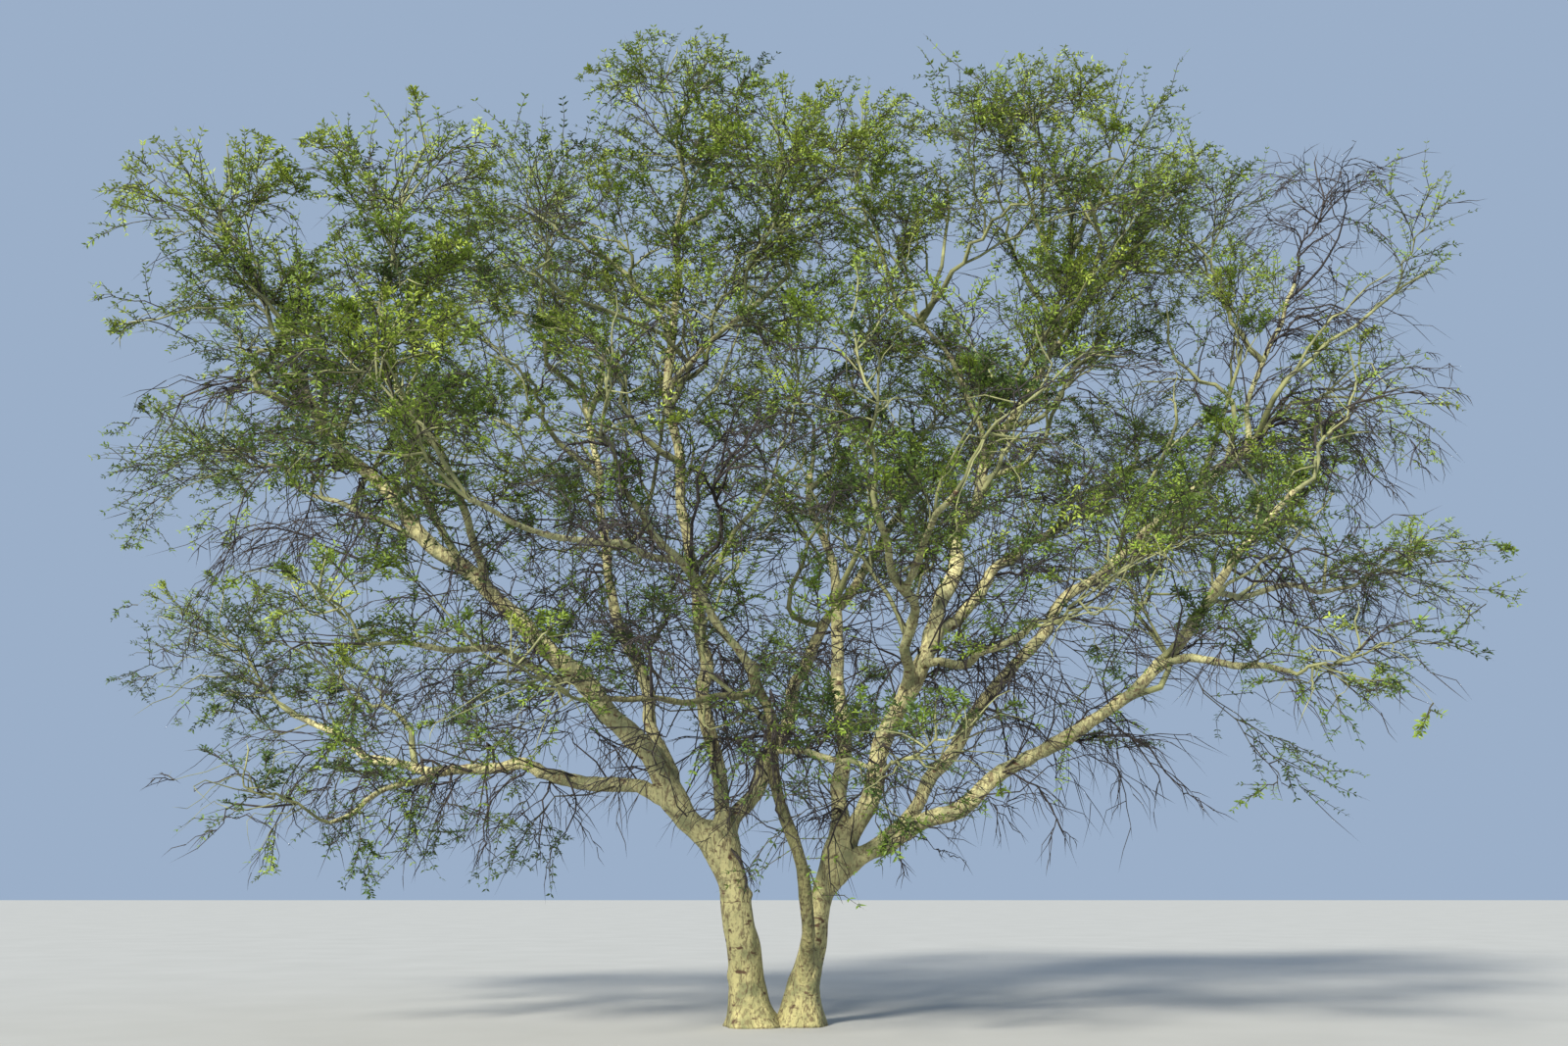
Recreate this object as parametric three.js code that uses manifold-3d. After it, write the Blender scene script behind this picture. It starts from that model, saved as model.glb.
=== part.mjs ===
// Acacia tree: two short trunks from one root, long leaning limbs and a wide, open crown.
// Millimetres, +Z up. The origin is on the flat ground cut under the left trunk.
// The front of the tree faces -Y.

import * as THREE from 'three';
import { mergeVertices } from 'three/addons/utils/BufferGeometryUtils.js';
import Module from 'manifold-3d';

const wasm = await Module();
wasm.setup();

// Driving dimensions. The two tables below are in metres, with girths in millimetres.
const METRE = 1000;
const GAP = 0.35;
const SEAM_TIDY = 0.03;
const FOOT_DEPTH = 400;
const FLARE_WIDTH = 0.75;
const FLARE_HEIGHT = 260;
const FLARE_LOBES = 5;
const FLARE_LOBE_DEPTH = 0.12;
const THICK_GIRTH = 150;
const THICK_SIDES = 8;
const THIN_SIDES = 6;
const TRUNK_SIDES = 10;
const STEP_LENGTH = 1300;
const LEAST_STEPS = 4;
const TRUNK_STEPS = 8;

// Foliage: each leaf blade stands for a whole spray of leaves
const SEED = 4;
const MAIN_TWIGS = 5;
const SIDE_TWIGS = 1;
const DEAD_MAIN_TWIGS = 7;
const DEAD_SIDE_TWIGS = 2;
const REACH = 0.97;
const SPACE_MARGIN = 0.02;
const STEM_SHRINK = 0.8;
const SIDE_STEM_SHRINK = 0.55;
const STEM_RISE = 0.35;
const STEM_TURN = 0.16;
const STEM_SIDES = 4;
const STEM_ROWS = 3;
const TWIG_SIDES = 3;
const LEAFY_ROWS = 2;
const DEAD_ROWS = 3;
const FIRST_TWIG = 0.3;
const LAST_TWIG = 0.92;
const SIDE_TWIG_AT = 0.45;
const SIDE_TWIG_STEP = 0.25;
const LEAST_SWING = 0.5;
const MOST_SWING = 1.1;
const STEM_END = 36;
const MAIN_SHRINK = 0.62;
const SIDE_SHRINK = 0.42;
const TWIG_TAPER = 0.75;
const LEAF_LIFT = 0.08;
const DEAD_LIFT = 0.25;
const LEAF_LENGTH = 1150;
const LEAF_WIDTH = 660;
const LEAF_THICKNESS = 44;
const LEAF_WIDEST = 0.45;
const LEAF_MOST = 0.7;
const LEAF_FLATNESS = 0.2;
const LEAF_ROOM = 0.2;
const LEAF_APART = 200;
const SIDE_LEAF_AT = 0.7;
const SIDE_LEAF_SIZE = 0.75;
const SIDE_LEAF_SINK = 6;
const NARROWEST_LEAF = 0.2;
const TOP_ROOM = 0.7;
const END_ROOM = 0.4;
const STEM_FLATNESS = 0.1;
const GOLDEN_ANGLE = Math.PI * (3 - Math.sqrt(5));

// Limbs and stems are kept clear of as runs of short straight bars
const BAR_PIECES = 8;
const BAR_ROOM = 12;

const SAME_POINT = 1e-4;
const PARALLEL = 1e-6;

// Every limb: what it grows from and how far along that, where it ends,
// how its middle bows off the straight line, and its girth at foot and end.
// A limb with two bows is an S. The trunks have a foot on the ground instead.
const LIMBS = [
  { name: 'trunk_left', foot: [0, 0, 0], tip: [-0.4, 0, 2.1], bows: [[0.03, 0, 0]], girth: [440, 335] },
  { name: 'trunk_right', foot: [0.58, 0.08, 0], tip: [1.03, 0.15, 2],
    bows: [[-0.09, 0, 0]], girth: [360, 275] },
  { name: 'limb_left_main', from: 'trunk_left', at: 0.97, tip: [-5.2, -1.8, 7.15],
    bows: [[0.05, 0.15, 0.1], [-0.05, 0.1, -0.05]], girth: [300, 105] },
  { name: 'limb_column', from: 'trunk_left', at: 0.96, tip: [-1.05, 0.6, 10.5],
    bows: [[-0.1, 0.5, 0], [-0.3, 0.45, 0]], girth: [195, 80] },
  { name: 'limb_centre_right', from: 'trunk_left', at: 0.93, tip: [2.4, 3.8, 7.6],
    bows: [[-0.2, 0.15, 0]], girth: [210, 95] },
  { name: 'limb_left_low', from: 'limb_left_main', at: 0.1, tip: [-6.3, 2.1, 3.85],
    bows: [[-0.1, -0.2, 0.05], [-0.1, -0.15, -0.3]], girth: [185, 75] },
  { name: 'limb_left_back', from: 'limb_left_main', at: 0.11, tip: [-2.7, 3.5, 9],
    bows: [[-0.15, 0.3, -0.2]], girth: [185, 75] },
  { name: 'bough_left_fork', from: 'limb_left_main', at: 0.57, tip: [-3.8, -3, 6.8],
    bows: [[0.15, 0, 0]], girth: [105, 65] },
  { name: 'bough_left_out', from: 'limb_left_main', at: 0.69, tip: [-5.6, 0.1, 6.4],
    bows: [[-0.05, -0.05, 0]], girth: [85, 55] },
  { name: 'bough_left_mid', from: 'limb_left_main', at: 0.34, tip: [-3.5, -2.8, 4.05],
    bows: [[0, 0, 0.1]], girth: [90, 60] },
  { name: 'bough_left_foot', from: 'limb_left_low', at: 0.53, tip: [-4.9, -0.6, 2.3],
    bows: [[0, 0, 0.05]], girth: [85, 50] },
  { name: 'bough_column_fork', from: 'limb_column', at: 0.71, tip: [-0.2, -0.3, 8.65],
    bows: [[0, 0, 0.1]], girth: [85, 60] },
  { name: 'limb_right_centre', from: 'trunk_right', at: 0.96, tip: [4.7, 3.1, 9.8],
    bows: [[0, -1.1, 0.2], [-0.3, -0.3, 0.1]], girth: [255, 90] },
  { name: 'limb_right_column', from: 'trunk_right', at: 0.94, tip: [0.75, 3.2, 7.5],
    bows: [[0.25, -0.1, 0]], girth: [225, 90] },
  { name: 'limb_right_low', from: 'trunk_right', at: 0.86, tip: [6.1, -2, 5.9],
    bows: [[0.3, 0.05, -0.25], [0.35, 0, -0.35]], girth: [230, 75] },
  { name: 'limb_right_mid', from: 'limb_right_low', at: 0.12, tip: [7, 1.6, 7.7],
    bows: [[-0.35, 0.35, 0.2]], girth: [185, 90] },
  { name: 'stem_front', from: 'trunk_right', at: 0.3, tip: [0, -1.3, 4.05],
    bows: [[0.2, -0.2, 0], [0.1, 0, 0]], girth: [170, 115] },
  { name: 'bough_front_left', from: 'stem_front', at: 0.97, tip: [-1.35, -3, 5.7],
    bows: [[-0.05, 0.1, 0.1]], girth: [105, 70] },
  { name: 'bough_front_flat', from: 'bough_front_left', at: 0.58, tip: [-2.7, -4.2, 5.25],
    bows: [[0, 0, -0.1]], girth: [80, 50] },
  { name: 'bough_front_low', from: 'stem_front', at: 0.93, tip: [-1.6, -3.4, 3.4],
    bows: [[0, 0, -0.1]], girth: [85, 50] },
  { name: 'bough_centre_low', from: 'stem_front', at: 0.74, tip: [1.4, -2.6, 2.75],
    bows: [[0, 0, 0.05]], girth: [80, 50] },
  { name: 'bough_right_low', from: 'limb_right_low', at: 0.65, tip: [5.6, -2.9, 3.75],
    bows: [[0.05, 0, 0.1]], girth: [105, 55] },
  { name: 'bough_right_flat', from: 'limb_right_low', at: 0.8, tip: [7.4, 0, 5.2],
    bows: [[0, 0, 0.05]], girth: [75, 50] },
  { name: 'bough_right_top', from: 'limb_right_mid', at: 0.95, tip: [7.8, 2.2, 10.1],
    bows: [[-0.1, 0, 0.05]], girth: [80, 55] },
  { name: 'bough_front_right', from: 'limb_right_centre', at: 0.23, tip: [1.35, -3, 5.4],
    bows: [[0.2, 0, 0.05]], girth: [135, 75] },
  { name: 'bough_front_fork', from: 'bough_front_right', at: 0.6, tip: [2.1, -3.8, 5.45],
    bows: [[0, 0, 0.05]], girth: [90, 55] },
  { name: 'bough_right_front', from: 'limb_right_centre', at: 0.26, tip: [3, -2.8, 4.3],
    bows: [[0.1, 0.05, -0.1]], girth: [115, 60] },
  { name: 'bough_right_back', from: 'limb_right_centre', at: 0.3, tip: [5.1, 3.5, 7.25],
    bows: [[-0.1, 0, 0.1]], girth: [170, 80] },
  { name: 'bough_right_curl', from: 'limb_right_centre', at: 0.66, tip: [2.2, 1.3, 9.3],
    bows: [[0.25, 0.15, 0.15]], girth: [85, 55] },
  { name: 'bough_right_up', from: 'limb_right_centre', at: 0.93, tip: [4.5, 1.9, 10.5],
    bows: [[0, 0, 0.1]], girth: [80, 55] },
];

// Every mass of twigs: the limb that carries it, the middle of its own space and
// the half widths of that space. It grows from the limb's end, or from its side at a share.
// A dead mass has bare arching twigs.
const MASSES = [
  { name: 'foliage_left_top', limb: 'limb_left_main', centre: [-6.2, -2.2, 8.6], half: [1.4, 1.4, 1.6] },
  { name: 'foliage_left_out', limb: 'bough_left_out', centre: [-7, 0.6, 6.7], half: [1.6, 1.5, 1.3] },
  { name: 'foliage_left_crown', limb: 'bough_left_fork',
    centre: [-3.8, -3.1, 8.4], half: [1.4, 1.5, 1.8] },
  { name: 'foliage_left_mid', limb: 'bough_left_mid', centre: [-4.3, -3.5, 4.1], half: [1.1, 1.2, 0.9] },
  { name: 'foliage_left_low', limb: 'limb_left_low', centre: [-7.6, 2.6, 4.7], half: [1.6, 1.4, 1.2] },
  { name: 'foliage_left_foot', limb: 'bough_left_foot',
    centre: [-5.7, -1.3, 2.4], half: [1.1, 1.1, 0.8] },
  { name: 'foliage_back_high', limb: 'limb_left_back', centre: [-3.5, 2.8, 10.7], half: [1.7, 1.8, 2] },
  { name: 'foliage_back_left', limb: 'limb_left_back', at: 0.68,
    centre: [-4.2, 3.6, 8.1], half: [1.4, 1.3, 1.4] },
  { name: 'foliage_top', limb: 'limb_column', centre: [-1.1, 0.3, 11.4], half: [1.5, 1.7, 1.5] },
  { name: 'foliage_top_front', limb: 'bough_column_fork',
    centre: [0.3, -1.2, 9.7], half: [1.4, 1.4, 1.7] },
  { name: 'foliage_back_centre', limb: 'limb_centre_right',
    centre: [3, 4.6, 8.8], half: [1.5, 1.5, 1.6] },
  { name: 'foliage_front_left', limb: 'bough_front_left',
    centre: [-1.4, -3.6, 6.5], half: [1.2, 1.3, 1.2] },
  { name: 'foliage_front_flat', limb: 'bough_front_flat',
    centre: [-3.5, -4.9, 6], half: [1.3, 1.3, 1.2] },
  { name: 'foliage_front_low', limb: 'bough_front_low',
    centre: [-2.2, -4.3, 3.4], half: [1.1, 1.2, 0.8] },
  { name: 'foliage_centre_low', limb: 'bough_centre_low',
    centre: [1.9, -3.5, 2.8], half: [1.3, 1.2, 0.7] },
  { name: 'foliage_right_main', limb: 'limb_right_low', centre: [6.7, -2.4, 6.4], half: [1.3, 1.3, 1.2] },
  { name: 'foliage_right_low', limb: 'bough_right_low', centre: [6.1, -3.6, 3.6], half: [1.2, 1.2, 0.8] },
  { name: 'foliage_right_flat', limb: 'bough_right_flat',
    centre: [8.4, 0.5, 5.3], half: [1.3, 1.3, 0.9] },
  { name: 'foliage_right_out', limb: 'limb_right_mid', centre: [8.4, 1.5, 7.9], half: [1.5, 1.4, 1.3] },
  { name: 'dead_right_top', limb: 'bough_right_top',
    centre: [8.4, 2.4, 11], half: [1.4, 1.3, 1.4], dead: true },
  { name: 'foliage_back_top', limb: 'limb_right_column', centre: [0.5, 3.5, 9.5], half: [1.7, 1.7, 2] },
  { name: 'foliage_right_crown', limb: 'limb_right_centre',
    centre: [6.1, 3.3, 11.3], half: [1.6, 1.5, 1.8] },
  { name: 'foliage_front_centre', limb: 'bough_front_right',
    centre: [1.1, -3.75, 6.7], half: [1.3, 1.3, 1.3] },
  { name: 'foliage_front_fork', limb: 'bough_front_fork',
    centre: [2.8, -4.7, 5.8], half: [1.3, 1.3, 1.2] },
  { name: 'foliage_right_front', limb: 'bough_right_front',
    centre: [3.7, -3.7, 4.3], half: [1.1, 1.2, 0.8] },
  { name: 'foliage_right_back', limb: 'bough_right_back',
    centre: [5.9, 4.3, 8.1], half: [1.4, 1.4, 1.4] },
  { name: 'foliage_top_right', limb: 'bough_right_up', centre: [3.8, 0.8, 11.4], half: [1.5, 1.7, 1.5] },
  { name: 'foliage_top_centre', limb: 'bough_right_curl',
    centre: [1.4, 1.2, 11.2], half: [1.4, 1.5, 1.5] },
  { name: 'dead_centre', limb: 'limb_column', at: 0.42,
    centre: [0, -0.5, 6.6], half: [0.9, 1.2, 1.2], dead: true },
  { name: 'foliage_right_mid', limb: 'limb_right_mid', at: 0.72,
    centre: [6, 2.6, 5.9], half: [1.2, 1.2, 0.9] },
];

const bark = new THREE.MeshStandardMaterial({ color: 0xb4ae78, roughness: 0.8, metalness: 0 });
const youngBark = new THREE.MeshStandardMaterial({ color: 0x858a55, roughness: 0.8, metalness: 0 });
const leaves = new THREE.MeshStandardMaterial({ color: 0x5f8036, roughness: 0.7, metalness: 0 });
const deadTwigs = new THREE.MeshStandardMaterial({ color: 0x4c443a, roughness: 0.9, metalness: 0 });

const UP = new THREE.Vector3(0, 0, 1);
const between = THREE.MathUtils.lerp;

function metres([x, y, z]) {
  return new THREE.Vector3(x, y, z).multiplyScalar(METRE);
}

// Repeatable numbers from 0 to 1
function seeded(seed) {
  let state = seed;
  return () => {
    state = (state * 16807) % 2147483647;
    return state / 2147483647;
  };
}

// A curve from foot to tip whose middle points stand off the straight line by the bows
function bowedCurve(foot, tip, bows) {
  const points = [foot];
  bows.forEach((bow, i) => {
    const share = (i + 1) / (bows.length + 1);
    points.push(foot.clone().lerp(tip, share).add(bow));
  });
  points.push(tip);
  return new THREE.CatmullRomCurve3(points, false, 'catmullrom', 0.5);
}

function solidOf(geometry) {
  geometry.deleteAttribute('normal');
  geometry.deleteAttribute('uv');
  const merged = mergeVertices(geometry, SAME_POINT);
  return new wasm.Manifold(new wasm.Mesh({
    numProp: 3,
    vertProperties: new Float32Array(merged.attributes.position.array),
    triVerts: new Uint32Array(merged.index.array),
  }));
}

// A capped cylinder bent along a curve, with its own radius at each share of the way,
// and its two caps moved outwards by an extra length
function tube(curve, sides, steps, radiusAt, extra) {
  const shape = new THREE.CylinderGeometry(1, 1, 1, sides, steps);
  const frames = curve.computeFrenetFrames(steps, false);
  const place = shape.attributes.position;
  for (let i = 0; i < place.count; i += 1) {
    const share = place.getY(i) + 0.5;
    const ring = Math.round(share * steps);
    const radius = radiusAt(share, Math.atan2(place.getZ(i), place.getX(i)));
    const point = curve.getPointAt(ring / steps);
    point.addScaledVector(frames.normals[ring], place.getX(i) * radius);
    point.addScaledVector(frames.binormals[ring], -place.getZ(i) * radius);
    if (ring === 0 || ring === steps) {
      point.addScaledVector(frames.tangents[ring], ring ? extra : -extra);
    }
    place.setXYZ(i, point.x, point.y, point.z);
  }
  return solidOf(shape);
}

// A pointed solid through a row of rings, each with its own centre, heading and half sizes,
// turned so that its flat side faces the given way
function spike(rings, tip, flat, sides) {
  const rows = rings.length;
  const shape = new THREE.ConeGeometry(1, 1, sides, rows);
  const place = shape.attributes.position;
  for (let i = 0; i < place.count; i += 1) {
    const row = Math.round((place.getY(i) + 0.5) * rows);
    const point = tip.clone();
    if (row < rows) {
      const { centre, heading, wide, thick } = rings[row];
      const across = new THREE.Vector3().crossVectors(flat, heading).normalize();
      const normal = new THREE.Vector3().crossVectors(heading, across);
      const unit = 1 - row / rows;
      point.copy(centre);
      point.addScaledVector(across, (place.getX(i) / unit) * wide);
      point.addScaledVector(normal, (-place.getZ(i) / unit) * thick);
    }
    place.setXYZ(i, point.x, point.y, point.z);
  }
  return solidOf(shape);
}

// A flattened eight-faced leaf blade from its root to its tip
function blade(root, tip, flat, width) {
  const along = tip.clone().sub(root);
  const length = along.length();
  along.normalize();
  const across = new THREE.Vector3().crossVectors(flat, along).normalize();
  const normal = new THREE.Vector3().crossVectors(along, across);
  const shape = new THREE.OctahedronGeometry(1);
  shape.scale(length / 2, width / 2, LEAF_THICKNESS / 2);
  shape.applyMatrix4(new THREE.Matrix4().makeBasis(along, across, normal));
  shape.translate(...root.clone().lerp(tip, 0.5));
  return solidOf(shape);
}

function largestBody(solid) {
  const bodies = solid.decompose();
  return bodies.reduce((best, body) => (body.volume() > best.volume() ? body : best));
}

// Limbs
const limbs = new Map();

function flare(height, angle) {
  const lobes = 1 + FLARE_LOBE_DEPTH * Math.cos(FLARE_LOBES * angle);
  return 1 + FLARE_WIDTH * lobes * Math.exp(-Math.max(height, 0) / FLARE_HEIGHT);
}

function limbCurve(limb) {
  const tip = metres(limb.tip);
  const bows = limb.bows.map(metres);
  if (limb.from) {
    return bowedCurve(limbs.get(limb.from).curve.getPointAt(limb.at), tip, bows);
  }
  const foot = metres(limb.foot);
  const lean = tip.clone().sub(foot).normalize();
  return bowedCurve(foot.addScaledVector(lean, -FOOT_DEPTH), tip, bows);
}

// The limb's own tube, grown all round by the clearance where it is used to cut others
function limbTube(limb, extra) {
  const { curve, sides, steps, radiusAt } = limb;
  const swell = (share, angle) => (limb.from ? 1 : flare(curve.getPointAt(share).z, angle));
  return tube(curve, sides, steps, (share, angle) => radiusAt(share) * swell(share, angle) + extra, extra);
}

function groundBox() {
  const size = 4 * METRE;
  const box = new THREE.BoxGeometry(size, size, size);
  box.translate(0, 0, -size / 2);
  return solidOf(box);
}

function growLimb(entry) {
  const [footGirth, endGirth] = entry.girth;
  const limb = { ...entry, curve: limbCurve(entry) };
  limb.radiusAt = (share) => between(footGirth, endGirth, share) / 2;
  limb.sides = footGirth < THICK_GIRTH ? THIN_SIDES : THICK_SIDES;
  limb.steps = Math.max(LEAST_STEPS, Math.round(limb.curve.getLength() / STEP_LENGTH));
  if (!entry.from) {
    limb.sides = TRUNK_SIDES;
    limb.steps = TRUNK_STEPS;
  }
  limb.solid = limbTube(limb, 0);
  if (!entry.from) {
    limb.solid = limb.solid.subtract(groundBox());
  }
  for (const earlier of limbs.values()) {
    limb.solid = limb.solid.subtract(earlier.cutter);
  }
  limb.solid = largestBody(limb.solid);
  limb.cutter = limbTube(limb, GAP);
  limbs.set(entry.name, limb);
}

LIMBS.forEach(growLimb);

// How far a point is from the middle of a mass's space, as a share of the way to its rim
function rimShare(mass, point) {
  return point.clone().sub(mass.middle).divide(mass.reach).length();
}

// A point is in a mass's own space when it is inside the rim and nearer to this mass than to any other
function ownsPoint(mass, point) {
  const own = rimShare(mass, point);
  return own < 1 && masses.every((other) => other === mass || own + SPACE_MARGIN < rimShare(other, point));
}

function segmentDistance(a, b, c, d) {
  const near = new THREE.Vector3();
  const far = new THREE.Vector3();
  const first = b.clone().sub(a);
  const second = d.clone().sub(c);
  const gap = a.clone().sub(c);
  const aa = first.dot(first);
  const bb = second.dot(second);
  const ab = first.dot(second);
  const spread = aa * bb - ab * ab;
  let s = spread > PARALLEL ? (ab * second.dot(gap) - bb * first.dot(gap)) / spread : 0;
  s = THREE.MathUtils.clamp(s, 0, 1);
  const t = THREE.MathUtils.clamp((ab * s + second.dot(gap)) / bb, 0, 1);
  s = THREE.MathUtils.clamp((ab * t - first.dot(gap)) / aa, 0, 1);
  near.copy(a).addScaledVector(first, s);
  far.copy(c).addScaledVector(second, t);
  return near.distanceTo(far);
}

// Bars
const bars = [];

function addBars(owner, curve, radiusAt) {
  for (let i = 0; i < BAR_PIECES; i += 1) {
    const share = i / BAR_PIECES;
    bars.push({
      owner,
      from: curve.getPointAt(share),
      to: curve.getPointAt(share + 1 / BAR_PIECES),
      radius: radiusAt(share),
    });
  }
}

function clearOfBars(mass, from, to, radius) {
  return bars.every((bar) => bar.owner === mass.name
    || segmentDistance(from, to, bar.from, bar.to) > bar.radius + radius + BAR_ROOM);
}

// Masses of twigs and leaves
const masses = MASSES.map((mass, index) => ({
  ...mass,
  random: seeded(SEED + index),
  middle: metres(mass.centre),
  reach: metres(mass.half),
}));

for (const limb of limbs.values()) {
  addBars(limb.name, limb.curve, limb.radiusAt);
}

// The stem goes on from the limb's end, or leaves its side, and rises through the middle of the space
function growStem(mass) {
  const limb = limbs.get(mass.limb);
  const share = mass.at ?? 1;
  const start = limb.curve.getPointAt(share);
  const end = mass.middle.clone().add(new THREE.Vector3(0, 0, mass.reach.z * STEM_RISE));
  const turn = mass.at ? 0 : start.distanceTo(end) * STEM_TURN;
  const onward = limb.curve.getTangentAt(share).multiplyScalar(turn);
  const foot = limb.radiusAt(share) * (mass.at ? SIDE_STEM_SHRINK : STEM_SHRINK);
  mass.stem = bowedCurve(start, end, [onward]);
  mass.stemRadius = (part) => between(foot, Math.min(foot, STEM_END), part);
  mass.cutter = limb.cutter;
  addBars(mass.name, mass.stem, mass.stemRadius);
}

masses.forEach(growStem);

// The rings of a round twig along a curve
function twigRings(curve, rows, foot, end) {
  return Array.from({ length: rows }, (_, row) => {
    const share = row / (rows - 1);
    const radius = between(foot, end, share);
    const heading = curve.getTangentAt(share);
    return { centre: curve.getPointAt(share), heading, wide: radius, thick: radius };
  });
}

// A point on the straight runs between rings
function pointOnRings(rings, share) {
  const run = Math.min(Math.floor(share * (rings.length - 1)), rings.length - 2);
  return rings[run].centre.clone().lerp(rings[run + 1].centre, share * (rings.length - 1) - run);
}

// The ring at a leaf's widest place
function leafRing(neck, tip, width) {
  return {
    centre: neck.clone().lerp(tip, LEAF_WIDEST),
    heading: tip.clone().sub(neck).normalize(),
    wide: width / 2,
    thick: LEAF_THICKNESS / 2,
  };
}

// Whether a leaf keeps to its mass's space and clear of every limb and of the mass's other leaves
function leafFits(mass, root, tip, flat, width) {
  const along = tip.clone().sub(root);
  const side = new THREE.Vector3().crossVectors(flat, along).normalize().multiplyScalar(width / 2);
  const middle = root.clone().lerp(tip, LEAF_WIDEST);
  const left = middle.clone().add(side);
  const right = middle.clone().sub(side);
  const inside = [tip, left, right].every((corner) => ownsPoint(mass, corner));
  const apart = mass.leaves.every(([from, to]) => segmentDistance(middle, tip, from, to) > LEAF_APART);
  const runs = [[root, tip], [middle, left], [middle, right]];
  return inside && apart && runs.every(([from, to]) => clearOfBars(mass, from, to, width * LEAF_ROOM));
}

// The i-th of a count of directions spread evenly over a ball, from near the top down
function headingAt(i, count, firstTurn) {
  const height = 1 - (2 * (i + TOP_ROOM)) / (count + END_ROOM);
  const out = Math.sqrt(1 - height * height);
  const angle = firstTurn + i * GOLDEN_ANGLE;
  return new THREE.Vector3(out * Math.cos(angle), out * Math.sin(angle), height);
}

// A twig from a root point to the rim of the space, bowed upwards, ending in a leaf or bare.
// Nothing is grown where it would leave the space or touch a limb.
function growTwig(mass, root, heading, foot, flat) {
  const tip = mass.middle.clone().add(heading.clone().multiply(mass.reach).multiplyScalar(REACH));
  const along = tip.clone().sub(root);
  const length = along.length();
  const leafLength = mass.dead ? 0 : Math.min(LEAF_LENGTH, length * LEAF_MOST);
  const neck = tip.clone().addScaledVector(along.normalize(), -leafLength);
  const lift = new THREE.Vector3(0, 0, length * (mass.dead ? DEAD_LIFT : LEAF_LIFT));
  const curve = bowedCurve(root, neck, [lift]);
  const middle = curve.getPointAt(0.5);
  const free = clearOfBars(mass, root, middle, foot) && clearOfBars(mass, middle, neck, foot);
  if (!free || !ownsPoint(mass, middle) || !ownsPoint(mass, neck)) {
    return null;
  }
  if (mass.dead) {
    const rings = twigRings(curve, DEAD_ROWS, foot, foot * TWIG_TAPER);
    return { rings, solid: spike(rings.slice(0, -1), tip, flat, TWIG_SIDES) };
  }
  const width = LEAF_WIDTH * Math.min(1, leafLength / LEAF_LENGTH + NARROWEST_LEAF);
  if (!leafFits(mass, neck, tip, flat, width)) {
    return null;
  }
  mass.leaves.push([neck, tip]);
  const rings = twigRings(curve, LEAFY_ROWS, foot, foot * TWIG_TAPER);
  return { rings, solid: spike([...rings, leafRing(neck, tip, width)], tip, flat, TWIG_SIDES) };
}

// A smaller leaf part way along a twig, its root sunk in the twig
function growSideLeaf(mass, twig, turn, flat) {
  const out = twig.rings[0].heading.clone().applyAxisAngle(UP, turn);
  const root = pointOnRings(twig.rings, SIDE_LEAF_AT).addScaledVector(out, -SIDE_LEAF_SINK);
  const tip = root.clone().addScaledVector(out, LEAF_LENGTH * SIDE_LEAF_SIZE);
  const width = LEAF_WIDTH * SIDE_LEAF_SIZE;
  if (!leafFits(mass, root, tip, flat, width)) {
    return null;
  }
  mass.leaves.push([root, tip]);
  return { solid: blade(root, tip, flat, width) };
}

function touchesAny(solid, others) {
  return others.some((other) => solid.intersect(other).volume() > 0);
}

// Twigs leave the stem for points spread evenly round the space, and each forks.
// One that would cross another is left out.
function growMass(mass) {
  const { random } = mass;
  const mains = mass.dead ? DEAD_MAIN_TWIGS : MAIN_TWIGS;
  const sides = mass.dead ? DEAD_SIDE_TWIGS : SIDE_TWIGS;
  const firstTurn = random() * 2 * Math.PI;
  const crownTip = mass.middle.clone().addScaledVector(UP, mass.reach.z * REACH);
  const stemRun = twigRings(mass.stem, STEM_ROWS, mass.stemRadius(0), mass.stemRadius(1));
  const stemFlat = new THREE.Vector3(random() - 0.5, random() - 0.5, STEM_FLATNESS);
  const crownLeaf = mass.dead ? [] : [leafRing(mass.stem.getPointAt(1), crownTip, LEAF_WIDTH)];
  const stem = spike([...stemRun, ...crownLeaf], crownTip, stemFlat, STEM_SIDES);
  mass.leaves = mass.dead ? [] : [[mass.stem.getPointAt(1), crownTip]];
  const pieces = [];
  for (let i = 0; i < mains; i += 1) {
    const heading = headingAt(i, mains, firstTurn);
    const flat = new THREE.Vector3(random() - 0.5, random() - 0.5, LEAF_FLATNESS);
    const swings = Array.from({ length: sides }, () => between(LEAST_SWING, MOST_SWING, random()));
    const leafTurn = between(-MOST_SWING, MOST_SWING, random());
    const rootShare = between(LAST_TWIG, FIRST_TWIG, i / mains);
    const foot = mass.stemRadius(rootShare) * MAIN_SHRINK;
    const main = growTwig(mass, pointOnRings(stemRun, rootShare), heading, foot, flat);
    if (main && !touchesAny(main.solid, pieces)) {
      const earlier = [stem, ...pieces];
      const offshoots = swings.map((swing, k) => {
        const turned = heading.clone().applyAxisAngle(UP, k % 2 ? -swing : swing);
        const sideRoot = pointOnRings(main.rings, SIDE_TWIG_AT + k * SIDE_TWIG_STEP);
        return growTwig(mass, sideRoot, turned, foot * SIDE_SHRINK, flat);
      });
      offshoots.push(mass.dead ? null : growSideLeaf(mass, main, leafTurn, flat));
      pieces.push(main.solid);
      offshoots.filter((piece) => piece && !touchesAny(piece.solid, earlier)).forEach((piece) => {
        pieces.push(piece.solid);
        earlier.push(piece.solid);
      });
    }
  }
  const whole = wasm.Manifold.union([stem, ...pieces]).subtract(mass.cutter);
  return largestBody(whole.simplify(SEAM_TIDY));
}

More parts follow.
